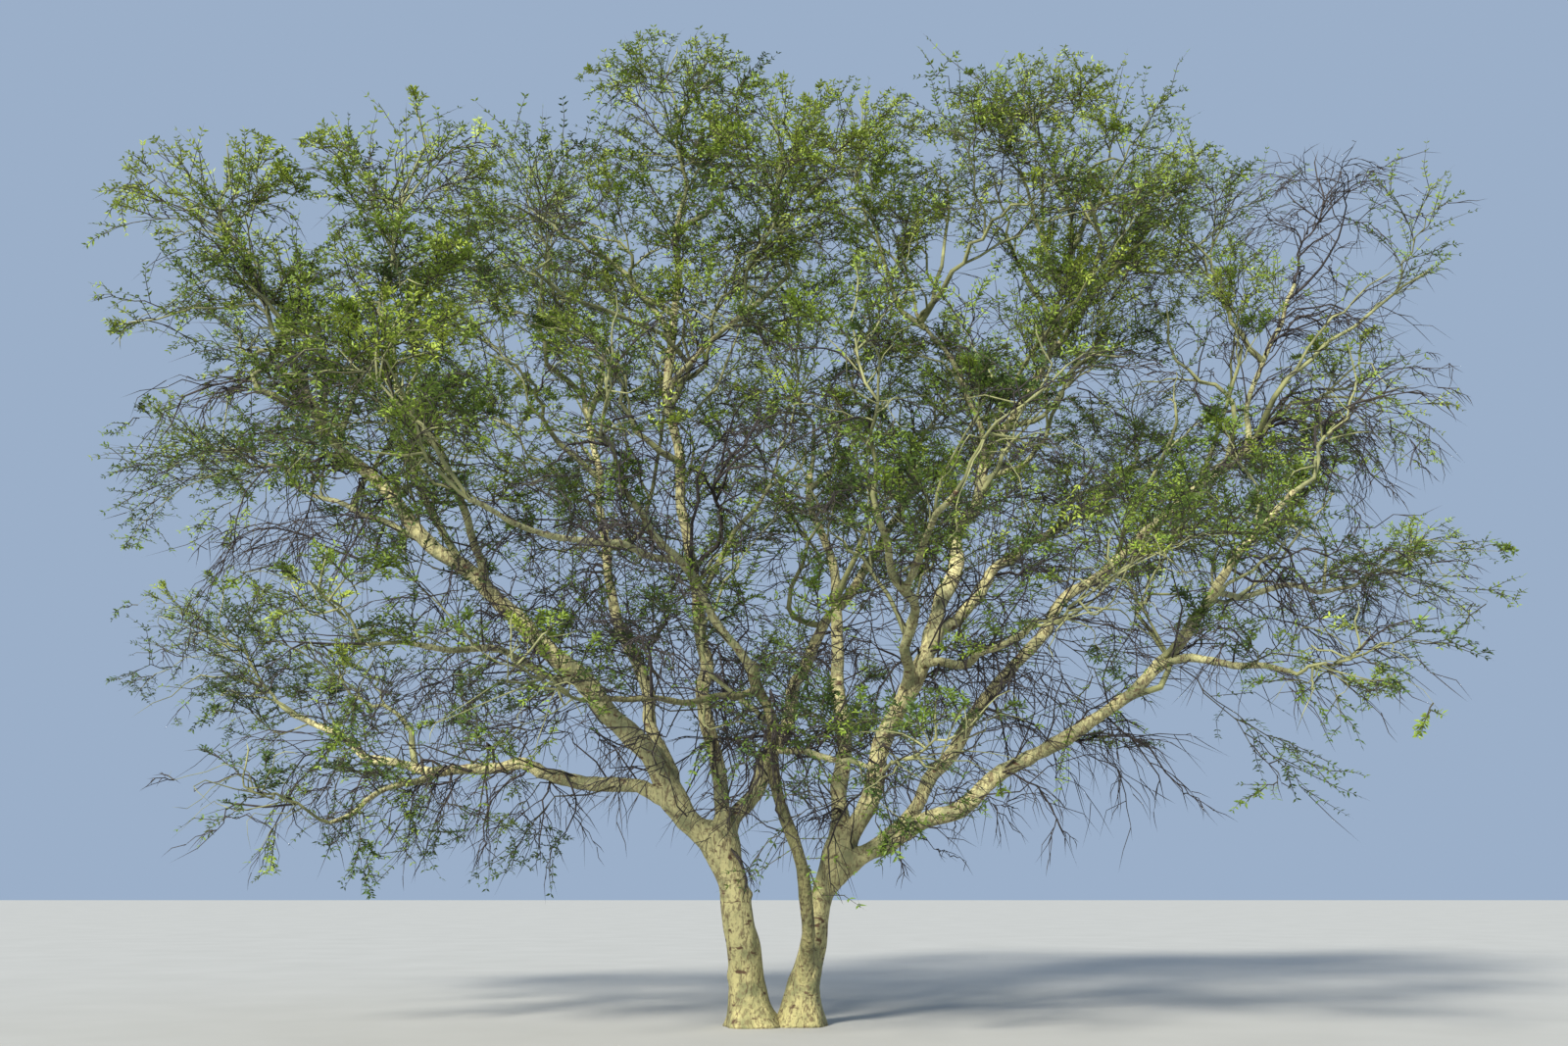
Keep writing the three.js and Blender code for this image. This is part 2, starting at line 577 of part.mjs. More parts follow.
function meshOf(name, solid, material) {
  const { vertProperties, triVerts } = solid.getMesh();
  const geometry = new THREE.BufferGeometry();
  geometry.setAttribute('position', new THREE.BufferAttribute(vertProperties, 3));
  geometry.setIndex(new THREE.BufferAttribute(triVerts, 1));
  geometry.computeVertexNormals();
  const mesh = new THREE.Mesh(geometry, material);
  mesh.name = name;
  return mesh;
}

const tree = new THREE.Group();
for (const limb of limbs.values()) {
  tree.add(meshOf(limb.name, limb.solid, limb.girth[0] < THICK_GIRTH ? youngBark : bark));
}
for (const mass of masses) {
  tree.add(meshOf(mass.name, growMass(mass), mass.dead ? deadTwigs : leaves));
}

export default tree;
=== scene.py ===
"""Acacia tree: bark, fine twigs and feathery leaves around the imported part.

Metres, +Z up. The front of the tree faces -Y. Limbs and masses follow the part's own sizes.
"""

import math

import bpy
import numpy as np
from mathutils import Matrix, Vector, noise


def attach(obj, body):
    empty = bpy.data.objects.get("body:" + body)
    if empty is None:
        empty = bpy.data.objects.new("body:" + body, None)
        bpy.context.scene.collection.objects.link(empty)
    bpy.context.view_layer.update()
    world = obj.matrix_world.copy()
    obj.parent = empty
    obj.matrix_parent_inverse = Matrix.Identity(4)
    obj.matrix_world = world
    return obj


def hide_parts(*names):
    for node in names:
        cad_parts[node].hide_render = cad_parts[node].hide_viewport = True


UP = np.array([0.0, 0.0, 1.0])
GOLDEN_ANGLE = math.pi * (3 - math.sqrt(5))

# Camera, floor and light
CAMERA_PLACE = (0.366, -18.6, 1.6)
CAMERA_RISE = 13.35
CAMERA_LENS = 35
FURTHEST_SEEN = 500
FLOOR_HALF = 150
FLOOR_TONES = ((0.405, 0.405, 0.385), (0.435, 0.435, 0.415))
FLOOR_NOISE = (0.6, 3)
FLOOR_STOPS = (0.3, 0.7)
FLOOR_ROUGHNESS = 0.9
SUN_ENERGY = 6.5
SUN_SPREAD = 10
SUN_HEIGHT = 32
SUN_TURN = -28
SUN_COLOUR = (1.0, 0.95, 0.84)
SKY_COLOUR = (0.42, 0.55, 0.75)
SKY_STRENGTH = 0.78

# The part's own rule for its limbs
FOOT_DEPTH = 0.4
FLARE_WIDTH = 0.75
FLARE_HEIGHT = 0.26
FLARE_LOBES = 5
FLARE_LOBE_DEPTH = 0.12
THICK_GIRTH = 150
CURVE_POINTS = 160
CURVE_STEPS = 4 * CURVE_POINTS

# A radius in metres is a girth in millimetres over this
GIRTH_PER_RADIUS = 2000

# The part's own rule for its twigs
SEED = 4
MAIN_TWIGS = 5
DEAD_MAIN_TWIGS = 7
REACH = 0.97
STEM_SHRINK = 0.8
SIDE_STEM_SHRINK = 0.55
STEM_RISE = 0.35
STEM_TURN = 0.16
STEM_END = 0.018
FIRST_TWIG = 0.3
LAST_TWIG = 0.92
TOP_ROOM = 0.7
END_ROOM = 0.4
MAIN_SHRINK = 0.62
LEAF_LIFT = 0.08
DEAD_LIFT = 0.25
RANDOM_FACTOR = 16807
RANDOM_LIMIT = 2147483647

# Bark meshes, as the number of sides and the length of a row
TRUNK_MESH = (44, 0.03)
LIMB_MESH = (22, 0.065)
BOUGH_MESH = (14, 0.07)
LEAST_ROWS = 8
DOME_ROWS = 5

# Bark relief. Shares are of a limb's radius, and so are the sizes of flutes and lumps.
DOME_RISE = 0.6
FLUTE_SHARE = 0.22
FLUTE_SIZE = 2.2
FLUTE_STRETCH = (1, 1, 0.25)
FLUTE_SEED = 5
LUMP_SHARE = 0.1
LUMP_SIZE = 0.8
LUMP_STRETCH = (1, 1, 0.5)
LUMP_SEED = 9
WOBBLE_SHARE = 0.5
WOBBLE_SIZE = 0.7
LEVEL_HEIGHT = 0.35
KNOT_GAP = 0.35
KNOT_SIZES = (0.3, 0.7)
KNOT_RISE = 0.2
KNOT_KINDS = (1.6, 1.0, -0.7)
KNOT_SPREAD = 0.5
FILLET_SHARE = 1.4
FILLET_LIFT = 0.25
FORK_SPAN = 0.2

# How limbs and the stems of masses wander off their smooth curves
STEADY_END = 0.5
KINK_SIZE = 0.75
KINK_REACH = 0.13
STEM_KINK = 0.34
AXIS_SHIFT = 40
SEED_SHIFTS = (7.1, 3.7, 5.3)
START_SIDE = (0.3, 1, 0.1)
FAR = 9.0

# Every limb: its name, what it grows from and how far along that, where it ends,
# how its middle bows off the straight line, and its girth in millimetres at foot and end.
# A limb with two bows is an S. The trunks grow from the ground and have a foot there.
TRUNK_FEET = {"trunk_left": (0, 0, 0), "trunk_right": (0.58, 0.08, 0)}
LIMBS = [
    ("trunk_left", None, 0, (-0.4, 0, 2.1), [(0.03, 0, 0)], (440, 335)),
    ("trunk_right", None, 0, (1.03, 0.15, 2), [(-0.09, 0, 0)], (360, 275)),
    ("limb_left_main", "trunk_left", 0.97, (-5.2, -1.8, 7.15),
     [(0.05, 0.15, 0.1), (-0.05, 0.1, -0.05)], (300, 105)),
    ("limb_column", "trunk_left", 0.96, (-1.05, 0.6, 10.5), [(-0.1, 0.5, 0), (-0.3, 0.45, 0)], (195, 80)),
    ("limb_centre_right", "trunk_left", 0.93, (2.4, 3.8, 7.6), [(-0.2, 0.15, 0)], (210, 95)),
    ("limb_left_low", "limb_left_main", 0.1, (-6.3, 2.1, 3.85),
     [(-0.1, -0.2, 0.05), (-0.1, -0.15, -0.3)], (185, 75)),
    ("limb_left_back", "limb_left_main", 0.11, (-2.7, 3.5, 9), [(-0.15, 0.3, -0.2)], (185, 75)),
    ("bough_left_fork", "limb_left_main", 0.57, (-3.8, -3, 6.8), [(0.15, 0, 0)], (105, 65)),
    ("bough_left_out", "limb_left_main", 0.69, (-5.6, 0.1, 6.4), [(-0.05, -0.05, 0)], (85, 55)),
    ("bough_left_mid", "limb_left_main", 0.34, (-3.5, -2.8, 4.05), [(0, 0, 0.1)], (90, 60)),
    ("bough_left_foot", "limb_left_low", 0.53, (-4.9, -0.6, 2.3), [(0, 0, 0.05)], (85, 50)),
    ("bough_column_fork", "limb_column", 0.71, (-0.2, -0.3, 8.65), [(0, 0, 0.1)], (85, 60)),
    ("limb_right_centre", "trunk_right", 0.96, (4.7, 3.1, 9.8),
     [(0, -1.1, 0.2), (-0.3, -0.3, 0.1)], (255, 90)),
    ("limb_right_column", "trunk_right", 0.94, (0.75, 3.2, 7.5), [(0.25, -0.1, 0)], (225, 90)),
    ("limb_right_low", "trunk_right", 0.86, (6.1, -2, 5.9),
     [(0.3, 0.05, -0.25), (0.35, 0, -0.35)], (230, 75)),
    ("limb_right_mid", "limb_right_low", 0.12, (7, 1.6, 7.7), [(-0.35, 0.35, 0.2)], (185, 90)),
    ("stem_front", "trunk_right", 0.3, (0, -1.3, 4.05), [(0.2, -0.2, 0), (0.1, 0, 0)], (170, 115)),
    ("bough_front_left", "stem_front", 0.97, (-1.35, -3, 5.7), [(-0.05, 0.1, 0.1)], (105, 70)),
    ("bough_front_flat", "bough_front_left", 0.58, (-2.7, -4.2, 5.25), [(0, 0, -0.1)], (80, 50)),
    ("bough_front_low", "stem_front", 0.93, (-1.6, -3.4, 3.4), [(0, 0, -0.1)], (85, 50)),
    ("bough_centre_low", "stem_front", 0.74, (1.4, -2.6, 2.75), [(0, 0, 0.05)], (80, 50)),
    ("bough_right_low", "limb_right_low", 0.65, (5.6, -2.9, 3.75), [(0.05, 0, 0.1)], (105, 55)),
    ("bough_right_flat", "limb_right_low", 0.8, (7.4, 0, 5.2), [(0, 0, 0.05)], (75, 50)),
    ("bough_right_top", "limb_right_mid", 0.95, (7.8, 2.2, 10.1), [(-0.1, 0, 0.05)], (80, 55)),
    ("bough_front_right", "limb_right_centre", 0.23, (1.35, -3, 5.4), [(0.2, 0, 0.05)], (135, 75)),
    ("bough_front_fork", "bough_front_right", 0.6, (2.1, -3.8, 5.45), [(0, 0, 0.05)], (90, 55)),
    ("bough_right_front", "limb_right_centre", 0.26, (3, -2.8, 4.3), [(0.1, 0.05, -0.1)], (115, 60)),
    ("bough_right_back", "limb_right_centre", 0.3, (5.1, 3.5, 7.25), [(-0.1, 0, 0.1)], (170, 80)),
    ("bough_right_curl", "limb_right_centre", 0.66, (2.2, 1.3, 9.3), [(0.25, 0.15, 0.15)], (85, 55)),
    ("bough_right_up", "limb_right_centre", 0.93, (4.5, 1.9, 10.5), [(0, 0, 0.1)], (80, 55)),
]

# Every mass of twigs: its name, the limb that carries it and how far along, the middle of its
# own space and the half widths of that space. At 1 it grows from the limb's end, else from its side.
# A dead mass has bare arching twigs.
MASSES = [
    ("foliage_left_top", "limb_left_main", 1, (-6.2, -2.2, 8.6), (1.4, 1.4, 1.6)),
    ("foliage_left_out", "bough_left_out", 1, (-7, 0.6, 6.7), (1.6, 1.5, 1.3)),
    ("foliage_left_crown", "bough_left_fork", 1, (-3.8, -3.1, 8.4), (1.4, 1.5, 1.8)),
    ("foliage_left_mid", "bough_left_mid", 1, (-4.3, -3.5, 4.1), (1.1, 1.2, 0.9)),
    ("foliage_left_low", "limb_left_low", 1, (-7.6, 2.6, 4.7), (1.6, 1.4, 1.2)),
    ("foliage_left_foot", "bough_left_foot", 1, (-5.7, -1.3, 2.4), (1.1, 1.1, 0.8)),
    ("foliage_back_high", "limb_left_back", 1, (-3.5, 2.8, 10.7), (1.7, 1.8, 2)),
    ("foliage_back_left", "limb_left_back", 0.68, (-4.2, 3.6, 8.1), (1.4, 1.3, 1.4)),
    ("foliage_top", "limb_column", 1, (-1.1, 0.3, 11.4), (1.5, 1.7, 1.5)),
    ("foliage_top_front", "bough_column_fork", 1, (0.3, -1.2, 9.7), (1.4, 1.4, 1.7)),
    ("foliage_back_centre", "limb_centre_right", 1, (3, 4.6, 8.8), (1.5, 1.5, 1.6)),
    ("foliage_front_left", "bough_front_left", 1, (-1.4, -3.6, 6.5), (1.2, 1.3, 1.2)),
    ("foliage_front_flat", "bough_front_flat", 1, (-3.5, -4.9, 6), (1.3, 1.3, 1.2)),
    ("foliage_front_low", "bough_front_low", 1, (-2.2, -4.3, 3.4), (1.1, 1.2, 0.8)),
    ("foliage_centre_low", "bough_centre_low", 1, (1.9, -3.5, 2.8), (1.3, 1.2, 0.7)),
    ("foliage_right_main", "limb_right_low", 1, (6.7, -2.4, 6.4), (1.3, 1.3, 1.2)),
    ("foliage_right_low", "bough_right_low", 1, (6.1, -3.6, 3.6), (1.2, 1.2, 0.8)),
    ("foliage_right_flat", "bough_right_flat", 1, (8.4, 0.5, 5.3), (1.3, 1.3, 0.9)),
    ("foliage_right_out", "limb_right_mid", 1, (8.4, 1.5, 7.9), (1.5, 1.4, 1.3)),
    ("dead_right_top", "bough_right_top", 1, (8.4, 2.4, 11), (1.4, 1.3, 1.4)),
    ("foliage_back_top", "limb_right_column", 1, (0.5, 3.5, 9.5), (1.7, 1.7, 2)),
    ("foliage_right_crown", "limb_right_centre", 1, (6.1, 3.3, 11.3), (1.6, 1.5, 1.8)),
    ("foliage_front_centre", "bough_front_right", 1, (1.1, -3.75, 6.7), (1.3, 1.3, 1.3)),
    ("foliage_front_fork", "bough_front_fork", 1, (2.8, -4.7, 5.8), (1.3, 1.3, 1.2)),
    ("foliage_right_front", "bough_right_front", 1, (3.7, -3.7, 4.3), (1.1, 1.2, 0.8)),
    ("foliage_right_back", "bough_right_back", 1, (5.9, 4.3, 8.1), (1.4, 1.4, 1.4)),
    ("foliage_top_right", "bough_right_up", 1, (3.8, 0.8, 11.4), (1.5, 1.7, 1.5)),
    ("foliage_top_centre", "bough_right_curl", 1, (1.4, 1.2, 11.2), (1.4, 1.5, 1.5)),
    ("dead_centre", "limb_column", 0.42, (0, -0.5, 6.6), (0.9, 1.2, 1.2)),
    ("foliage_right_mid", "limb_right_mid", 0.72, (6, 2.6, 5.9), (1.2, 1.2, 0.9)),
]
DEAD_MASSES = ("dead_right_top", "dead_centre")

# Finer growth than the part's own, kept to the masses' spaces and to the crown's reach
SPACE_SLACK = 0.35
CROWN_LOW = (-9.1, -6.15, 1.3)
CROWN_HIGH = (9.85, 6.05, 13.05)
LOWEST_GROWTH = 1.7
FULL_SPACE = 3.6
LEAST_FULL = 0.35
STEM_ROWS = 14
STEM_TIP = 0.009
STEM_NOISE = 0.02
MAIN_ROWS = 9
MAIN_SWELL = 1.25
MAIN_BEND = 0.015
MAIN_ONWARD = 0.12
FINE_MAINS = 9
FINE_DEAD = 6
FINE_SHRINK = 0.6
FINE_INWARDS = (0.75, 1.0)
TWIG_TAPER = 0.25
LENGTH_SPREAD = (0.55, 1.4)
SIDE_NOISE = 0.45
SWAY_NOISE = 0.6
S_BEND = 0.085

# Rules for finer twigs. Each one says how many grow on a parent, from where to where along it, how
# far they turn off it and rise, how long they are as a share of it, how much shorter towards its
# end, and the longest and shortest in metres. "dying" is the share that dies back, and "patchy"
# how bare a patch of the crown has to be before all of it dies back there. "dead" is the share
# of the dead ones that stay, and "droop" how far those hang. "shrink" is the thickness as a share
# of the parent's, held between "thin" and "thick", and "end" the share that is left at the tip.
# "lift" is how far a twig arches, and "bend" how far it is bent at each of its rows of points.
SIDES_RULE = dict(
    count=8, ends=(0.08, 0.98), swing=(0.35, 0.9), rise=0.08, share=0.75, taper=0.42,
    longest=1.2, shortest=0.2, dying=0.1, patchy=-0.27, dead=0.75, droop=0.45,
    shrink=0.6, thin=0.0085, thick=0.014, end=0.4, rows=6, lift=0.07, bend=0.035,
)
INNER_SIDES_RULE = dict(SIDES_RULE, count=6, ends=(0.35, 0.98))
TWIGLETS_RULE = dict(
    count=6, ends=(0.06, 1.0), swing=(0.3, 0.85), rise=0.05, share=0.95, taper=0.4,
    longest=0.75, shortest=0.08, dying=0.1, patchy=-1, dead=0.6, droop=0.5,
    shrink=0.7, thin=0.0056, thick=0.0085, end=0.6, rows=3, lift=0.06, bend=0.08,
)
FORKS_RULE = dict(
    count=3, ends=(0.25, 0.9), swing=(0.4, 0.9), rise=0.12, share=0.75, taper=0.3,
    longest=1.6, shortest=0.35, dying=0.1, patchy=-1, dead=1, droop=0.3,
    shrink=0.65, thin=0.009, thick=0.026, end=0.35, rows=9, lift=0.08, bend=0.022,
)

# New growth straight from the limbs. Each rule says where along the limb it grows, how far apart,
# how long it is, how far past the masses it may reach, how many twigs die back, how thick a twig
# is at its foot, how many rows of points it has and how much it bends at each.
BOUGHS_RULE = dict(
    ends=(0.2, 1), gap=0.95, reach=(1.3, 2.8), open=1.5, dying=0.1,
    foot=(0.022, 0.05), rows=12, bend=0.012,
)
BRANCHES_RULE = dict(
    ends=(0.12, 1), gap=0.6, reach=(0.8, 1.8), open=1.5, dying=0.17,
    foot=(0.009, 0.022), rows=9, bend=0.018,
)
INNER_RULE = dict(
    ends=(0.05, 0.7), gap=0.25, reach=(0.9, 2.1), open=4, dying=0.36,
    foot=(0.006, 0.012), rows=8, bend=0.025,
)
SHOOTS_RULE = dict(
    ends=(0.4, 1), gap=0.3, reach=(0.4, 0.9), open=2, dying=0.5,
    foot=(0.006, 0.01), rows=6, bend=0.035,
)
GROWTH_SIDE = (0.3, 1, 0.2)
GROWTH_ONWARD = 0.75
GROWTH_RISE = 0.3
GROWTH_LENGTHS = (1.1, -0.4)
GROWTH_GIRTHS = (0.1, 0.2)
BOW_ONWARD = 0.12
BOW_RISE = 0.05
BOW_NOISE = 0.1
BARE_INSIDE = 0.3
PATCH_SHAPE = (1, 1, 2)
PATCH_SIZE = 1.3
PATCH_SEED = 3

# Side boughs that the photo shows, and others that fill the crown from above and behind:
# the limb, the share along it, and the reach and bow in metres
SIDE_BOUGHS = [
    ("limb_left_main", 0.97, (-0.7, -0.7, 1.3), (-0.1, 0, -0.2)),
    ("limb_left_main", 0.99, (-1.1, 0.8, 1.0), (-0.1, 0, 0.2)),
    ("limb_left_main", 0.95, (-0.7, 0.5, 1.7), (0.15, 0, 0)),
    ("limb_left_main", 0.62, (-0.7, 1.2, 2.0), (-0.2, 0, 0)),
    ("limb_left_back", 0.6, (1.0, -1.0, 1.9), (0.2, 0, 0)),
    ("limb_left_back", 0.9, (-0.8, 0.5, 2.5), (0.15, 0, 0)),
    ("limb_column", 0.6, (-1.5, -1.0, 1.2), (0, 0, 0.2)),
    ("limb_column", 0.73, (1.4, -0.9, 1.0), (-0.1, 0, 0.1)),
    ("limb_column", 0.84, (-1.1, -0.6, 0.9), (0, 0, 0.1)),
    ("limb_column", 0.95, (1.3, 0.6, 1.6), (0, 0, 0.1)),
    ("limb_centre_right", 0.55, (-0.9, -0.4, 2.0), (0.2, 0, 0)),
    ("limb_right_column", 0.6, (1.2, -0.8, 1.9), (-0.2, 0, 0)),
    ("limb_right_centre", 0.5, (1.2, -1.0, 1.6), (0, 0, 0.2)),
    ("limb_right_centre", 0.75, (1.9, 0.6, 1.0), (0, 0, 0.2)),
    ("limb_right_centre", 0.97, (-1.1, -0.8, 2.4), (-0.2, 0, 0)),
    ("limb_right_centre", 0.98, (3.0, 0.7, 2.7), (0, 0, -0.2)),
    ("limb_right_mid", 0.6, (0.6, -1.2, 2.0), (0.2, 0, 0)),
    ("limb_right_mid", 0.98, (2.3, -0.8, 2.2), (0, 0, 0.3)),
    ("limb_right_low", 0.55, (1.4, 0.9, 1.6), (0, 0, 0.15)),
    ("limb_left_low", 0.6, (-1.3, 0.8, 1.5), (0, 0, 0.1)),
    ("bough_right_curl", 0.9, (-1.2, -0.5, 1.5), (0, 0, 0.25)),
    ("bough_right_curl", 0.98, (0.4, 0.4, 2.2), (0.2, 0, 0)),
    ("bough_right_up", 0.7, (-0.9, -0.6, 1.5), (0, 0, 0.2)),
    ("bough_right_up", 0.97, (1.3, 0.2, 1.3), (0, 0, 0.25)),
    ("bough_column_fork", 0.9, (1.3, -0.4, 1.5), (0, 0, 0.2)),
    ("limb_right_column", 0.95, (1.2, -0.6, 2.4), (0.2, 0, 0)),
    ("limb_left_main", 0.78, (0.2, 1.9, 2.1), (-0.2, 0, 0)),
    ("limb_left_back", 0.75, (-1.6, -1.5, 1.5), (0, 0, 0.2)),
    ("bough_left_out", 0.6, (0.2, 1.7, 1.6), (0, 0, 0.2)),
    ("limb_right_centre", 0.62, (2.0, -0.9, 1.5), (0, 0, 0.2)),
    ("limb_right_mid", 0.8, (0.4, -1.4, 1.8), (0.2, 0, 0)),
    ("limb_right_mid", 0.9, (-0.9, -0.8, 2.2), (0.15, 0, 0)),
    ("limb_left_back", 0.97, (-1.0, -2.3, 2.2), (0, 0, 0.2)),
    ("limb_column", 0.8, (-2.0, -0.4, 1.8), (0, 0, 0.25)),
    ("limb_left_main", 0.9, (1.0, 1.2, 3.1), (-0.2, 0, 0)),
    ("limb_right_centre", 0.9, (1.2, -1.6, 1.3), (0, 0, 0.2)),
    ("bough_right_top", 0.5, (-1.3, -0.8, 1.5), (0, 0, 0.2)),
    ("bough_right_curl", 0.95, (1.3, -2.3, 0.8), (0, 0, 0.3)),
    ("limb_right_centre", 0.7, (1.0, -2.6, 1.6), (0, 0, 0.3)),
    ("bough_right_up", 0.6, (0.6, -2.3, 0.9), (0, 0, 0.3)),
    ("limb_column", 0.68, (-1.2, -2.4, 1.2), (0, 0, 0.3)),
]
SIDE_BOUGH_FOOT = 0.048
SIDE_BOUGH_TAPER = 0.3

# Masses that the photo shows thinner than the rest, as a share of the usual twigs,
# and the share of their twigs that has died back
THIN_MASSES = {
    "foliage_left_foot": (0.4, 0.3),
    "foliage_left_mid": (0.8, 0.2),
    "foliage_left_low": (0.9, 0.15),
    "foliage_left_out": (0.8, 0.25),
    "foliage_front_low": (0.6, 0.3),
    "foliage_centre_low": (0.6, 0.2),
    "foliage_right_front": (0.6, 0.2),
    "foliage_right_low": (0.6, 0.2),
    "foliage_right_flat": (0.8, 0.3),
    "foliage_right_out": (0.6, 0.8),
    "foliage_right_main": (0.6, 0.7),
    "foliage_front_centre": (0.6, 0.2),
    "foliage_front_fork": (0.5, 0.25),
    "foliage_front_left": (0.7, 0.2),
    "foliage_right_mid": (0.8, 0.3),
}

# Dead branches that arch out from limbs and hang: the limb, the share along it,
# the reach in metres, and how many there are
HANGING = [
    ("limb_left_main", 0.42, (-0.4, -0.2, -0.9), 3),
    ("limb_left_main", 0.8, (-0.8, -0.1, -1.2), 4),
    ("limb_left_main", 0.95, (-1.4, 0, -0.5), 5),
    ("limb_left_low", 0.3, (-0.4, -0.2, -1.0), 5),
    ("limb_left_low", 0.75, (-0.7, 0.1, -1.0), 4),
    ("trunk_left", 0.95, (0.1, -0.5, -1.0), 3),
    ("stem_front", 0.78, (-0.4, -0.2, -1.0), 4),
    ("stem_front", 0.9, (0.3, -0.3, -1.0), 4),
    ("limb_column", 0.25, (0.4, -0.3, -0.8), 4),
    ("limb_column", 0.1, (0.2, -0.6, -0.7), 3),
    ("limb_right_column", 0.22, (-0.3, -0.9, -0.6), 3),
    ("limb_right_centre", 0.14, (-0.3, -0.6, -0.8), 3),
    ("limb_right_mid", 0.3, (0.3, -0.5, -1.0), 3),
    ("limb_left_low", 0.5, (-0.5, -0.3, -0.9), 4),
    ("limb_right_low", 0.3, (0.5, -0.3, -0.6), 3),
    ("limb_right_low", 0.5, (0.9, -0.3, -0.5), 3),
    ("limb_right_low", 0.85, (0.9, -0.2, -0.8), 3),
    ("limb_right_mid", 0.7, (0.9, -0.2, -0.6), 3),
    ("limb_right_mid", 0.9, (1.6, -0.1, 0.2), 5),
    ("limb_right_mid", 0.97, (1.5, 0.1, -0.8), 6),
    ("bough_right_top", 0.6, (1.1, 0, 0.1), 4),
    ("bough_right_front", 0.6, (0.2, -0.2, -0.7), 2),
    ("limb_right_centre", 0.3, (0.3, -0.4, -0.7), 3),
    ("limb_centre_right", 0.4, (0.3, 0.2, -0.7), 3),
    ("limb_left_back", 0.5, (-0.6, 0.3, -0.8), 3),
]
HANGING_SPREAD = 0.06
HANGING_LENGTHS = (0.6, 1.2)
HANGING_NOISE = (0.3, 0.3, 0.12)
HANGING_FOOT = 0.019
HANGING_TAPER = 0.35
HANGING_BEND = 0.02
HANGING_LIFT = 0.32

# Limbs whose new growth has died back more than the rest, by how large a share of it
DYING_LIMBS = {"limb_right_mid": 0.45, "limb_right_low": 0.15, "bough_right_top": 0.6, "stem_front": 0.2}

# Twig meshes: the number of sides of each kind, and a direction that few twigs follow
STEM_SIDES = 8
BOUGH_SIDES = 6
BRANCH_SIDES = 5
INNER_SIDES = 4
TWIG_SIDES = 3
SKEW_UP = (0.31, 0.17, 1)

# Leaves: each is a pair of folded leaflets. A twig carries a count of them between two shares.
TWIGLET_LEAVES = (7, (0.06, 0.92))
SIDE_TWIG_LEAVES = (3, (0.4, 0.95))
LEAF_SWING = (0.0, 0.45)
LEAF_RISE = 0.1
LEAF_TILT = 0.45
LEAF_SIZE = (0.05, 0.085)
LEAFLETS = [(0.95, 1.0), (-0.95, 0.9)]
LEAFLET_WIDEST = 0.42
LEAFLET_HALF = 0.18
LEAFLET_FOLD = 0.06

# How leaf tints are dealt out: a weight for height, place and patch, a little chance, and the steps
# from one tint to the next. Height and place paint light and shade: yellower high up and outside, darker
# low down and inside. The patch and the chance vary the tints at random.
TINT_WEIGHT = 0.5
TINT_FLOOR = 2
TINT_HEIGHT = 10
TINT_SEED = 8
TINT_NOISE = 0.16
LOOSE_PLACE = 0.5
TINT_STEPS = [0.34, 0.55, 0.82]

# Colours. The tinted heights are where a tint starts and where it is full.
SHADED_LIMBS = ("stem_front", "bough_front_low")
BARK_LIGHT = (0.60, 0.56, 0.28)
BARK_GREEN = (0.27, 0.28, 0.14)
BARK_SCAR = (0.12, 0.07, 0.04)
BOUGH_LIGHT = (0.50, 0.49, 0.25)
BOUGH_GREEN = (0.26, 0.28, 0.13)
BARK_FLAKE = (0.20, 0.16, 0.085)
SHADED_TINT = (0.42, 0.43, 0.38)
SHADED_HEIGHTS = (0.55, 1.5)
# Painted shade on all bark near the ground, coming in at the first height and full at the second
FOOT_SHADE_TINT = (0.72, 0.70, 0.62)
FOOT_SHADE_HEIGHTS = (2.6, 0.2)
STOUT_TONES = ((0.33, 0.34, 0.15), (0.14, 0.15, 0.07))
FINE_TONES = ((0.075, 0.07, 0.03), (0.024, 0.019, 0.017))
DEAD_TONES = ((0.022, 0.018, 0.018), (0.06, 0.05, 0.047))
# The deep tint is in part painted shade and the yellow one in part painted light, by where deal_tints puts
# them
LEAF_TINTS = [
    ("deep", (0.055, 0.10, 0.017)),
    ("mid", (0.125, 0.20, 0.023)),
    ("fresh", (0.19, 0.275, 0.03)),
    ("yellow", (0.28, 0.36, 0.045)),
]
LEAF_TONES = (0.84, 1.18)

# Surfaces. Noise has a scale, a detail and a stretch. Stops are places on it and shares there.
BARK_ROUGHNESS = 0.82
STOUT_ROUGHNESS = 0.75
FINE_ROUGHNESS = 0.8
DEAD_ROUGHNESS = 0.9
LEAF_ROUGHNESS = 0.5
LEAF_SPECULAR = 0.35
SOFT_STOPS = (0.35, 0.65)
TWIG_NOISE = (5, 3)
LEAF_NOISE = (2.5, 2)
BARK_PATCH_NOISE = (3.2, 6)
BARK_PATCH_STOPS = (0.36, 0.5)
STREAK_NOISE = (11, 5, (1, 1, 0.16))
STREAK_STOPS = ((0.48, 0), (0.68, 0.75))
FLAKE_NOISE = (27, 9, (1, 1, 0.7))
FLAKE_STOPS = ((0.53, 0), (0.61, 0.7))
CRACK_NOISE = (7, 4, (1, 1, 0.25))
CRACK_STOPS = ((0.48, 0), (0.495, 0.7), (0.505, 0.7), (0.52, 0))
SCAR_NOISE = (7, 5, (1, 1, 2.2))
SCAR_STOPS = ((0.61, 0), (0.67, 1))
BARK_BUMP = (0.03, 0.9)

# The mix node's sockets for two colours and for the mixed one
FIRST_COLOUR = 6
SECOND_COLOUR = 7
MIXED_COLOUR = 2


# Curves

def unit(vectors):
    return vectors / np.linalg.norm(vectors, axis=-1, keepdims=True)


def run_length(curve):
    return np.linalg.norm(np.diff(curve, axis=0), axis=1).sum()


def respaced(points, count):
    """The same line through points an even distance apart."""
    steps = np.linalg.norm(np.diff(points, axis=0), axis=1)
    run = np.concatenate([[0], np.cumsum(steps)])
    at = np.linspace(0, run[-1], count)
    return np.column_stack([np.interp(at, run, points[:, k]) for k in range(3)])


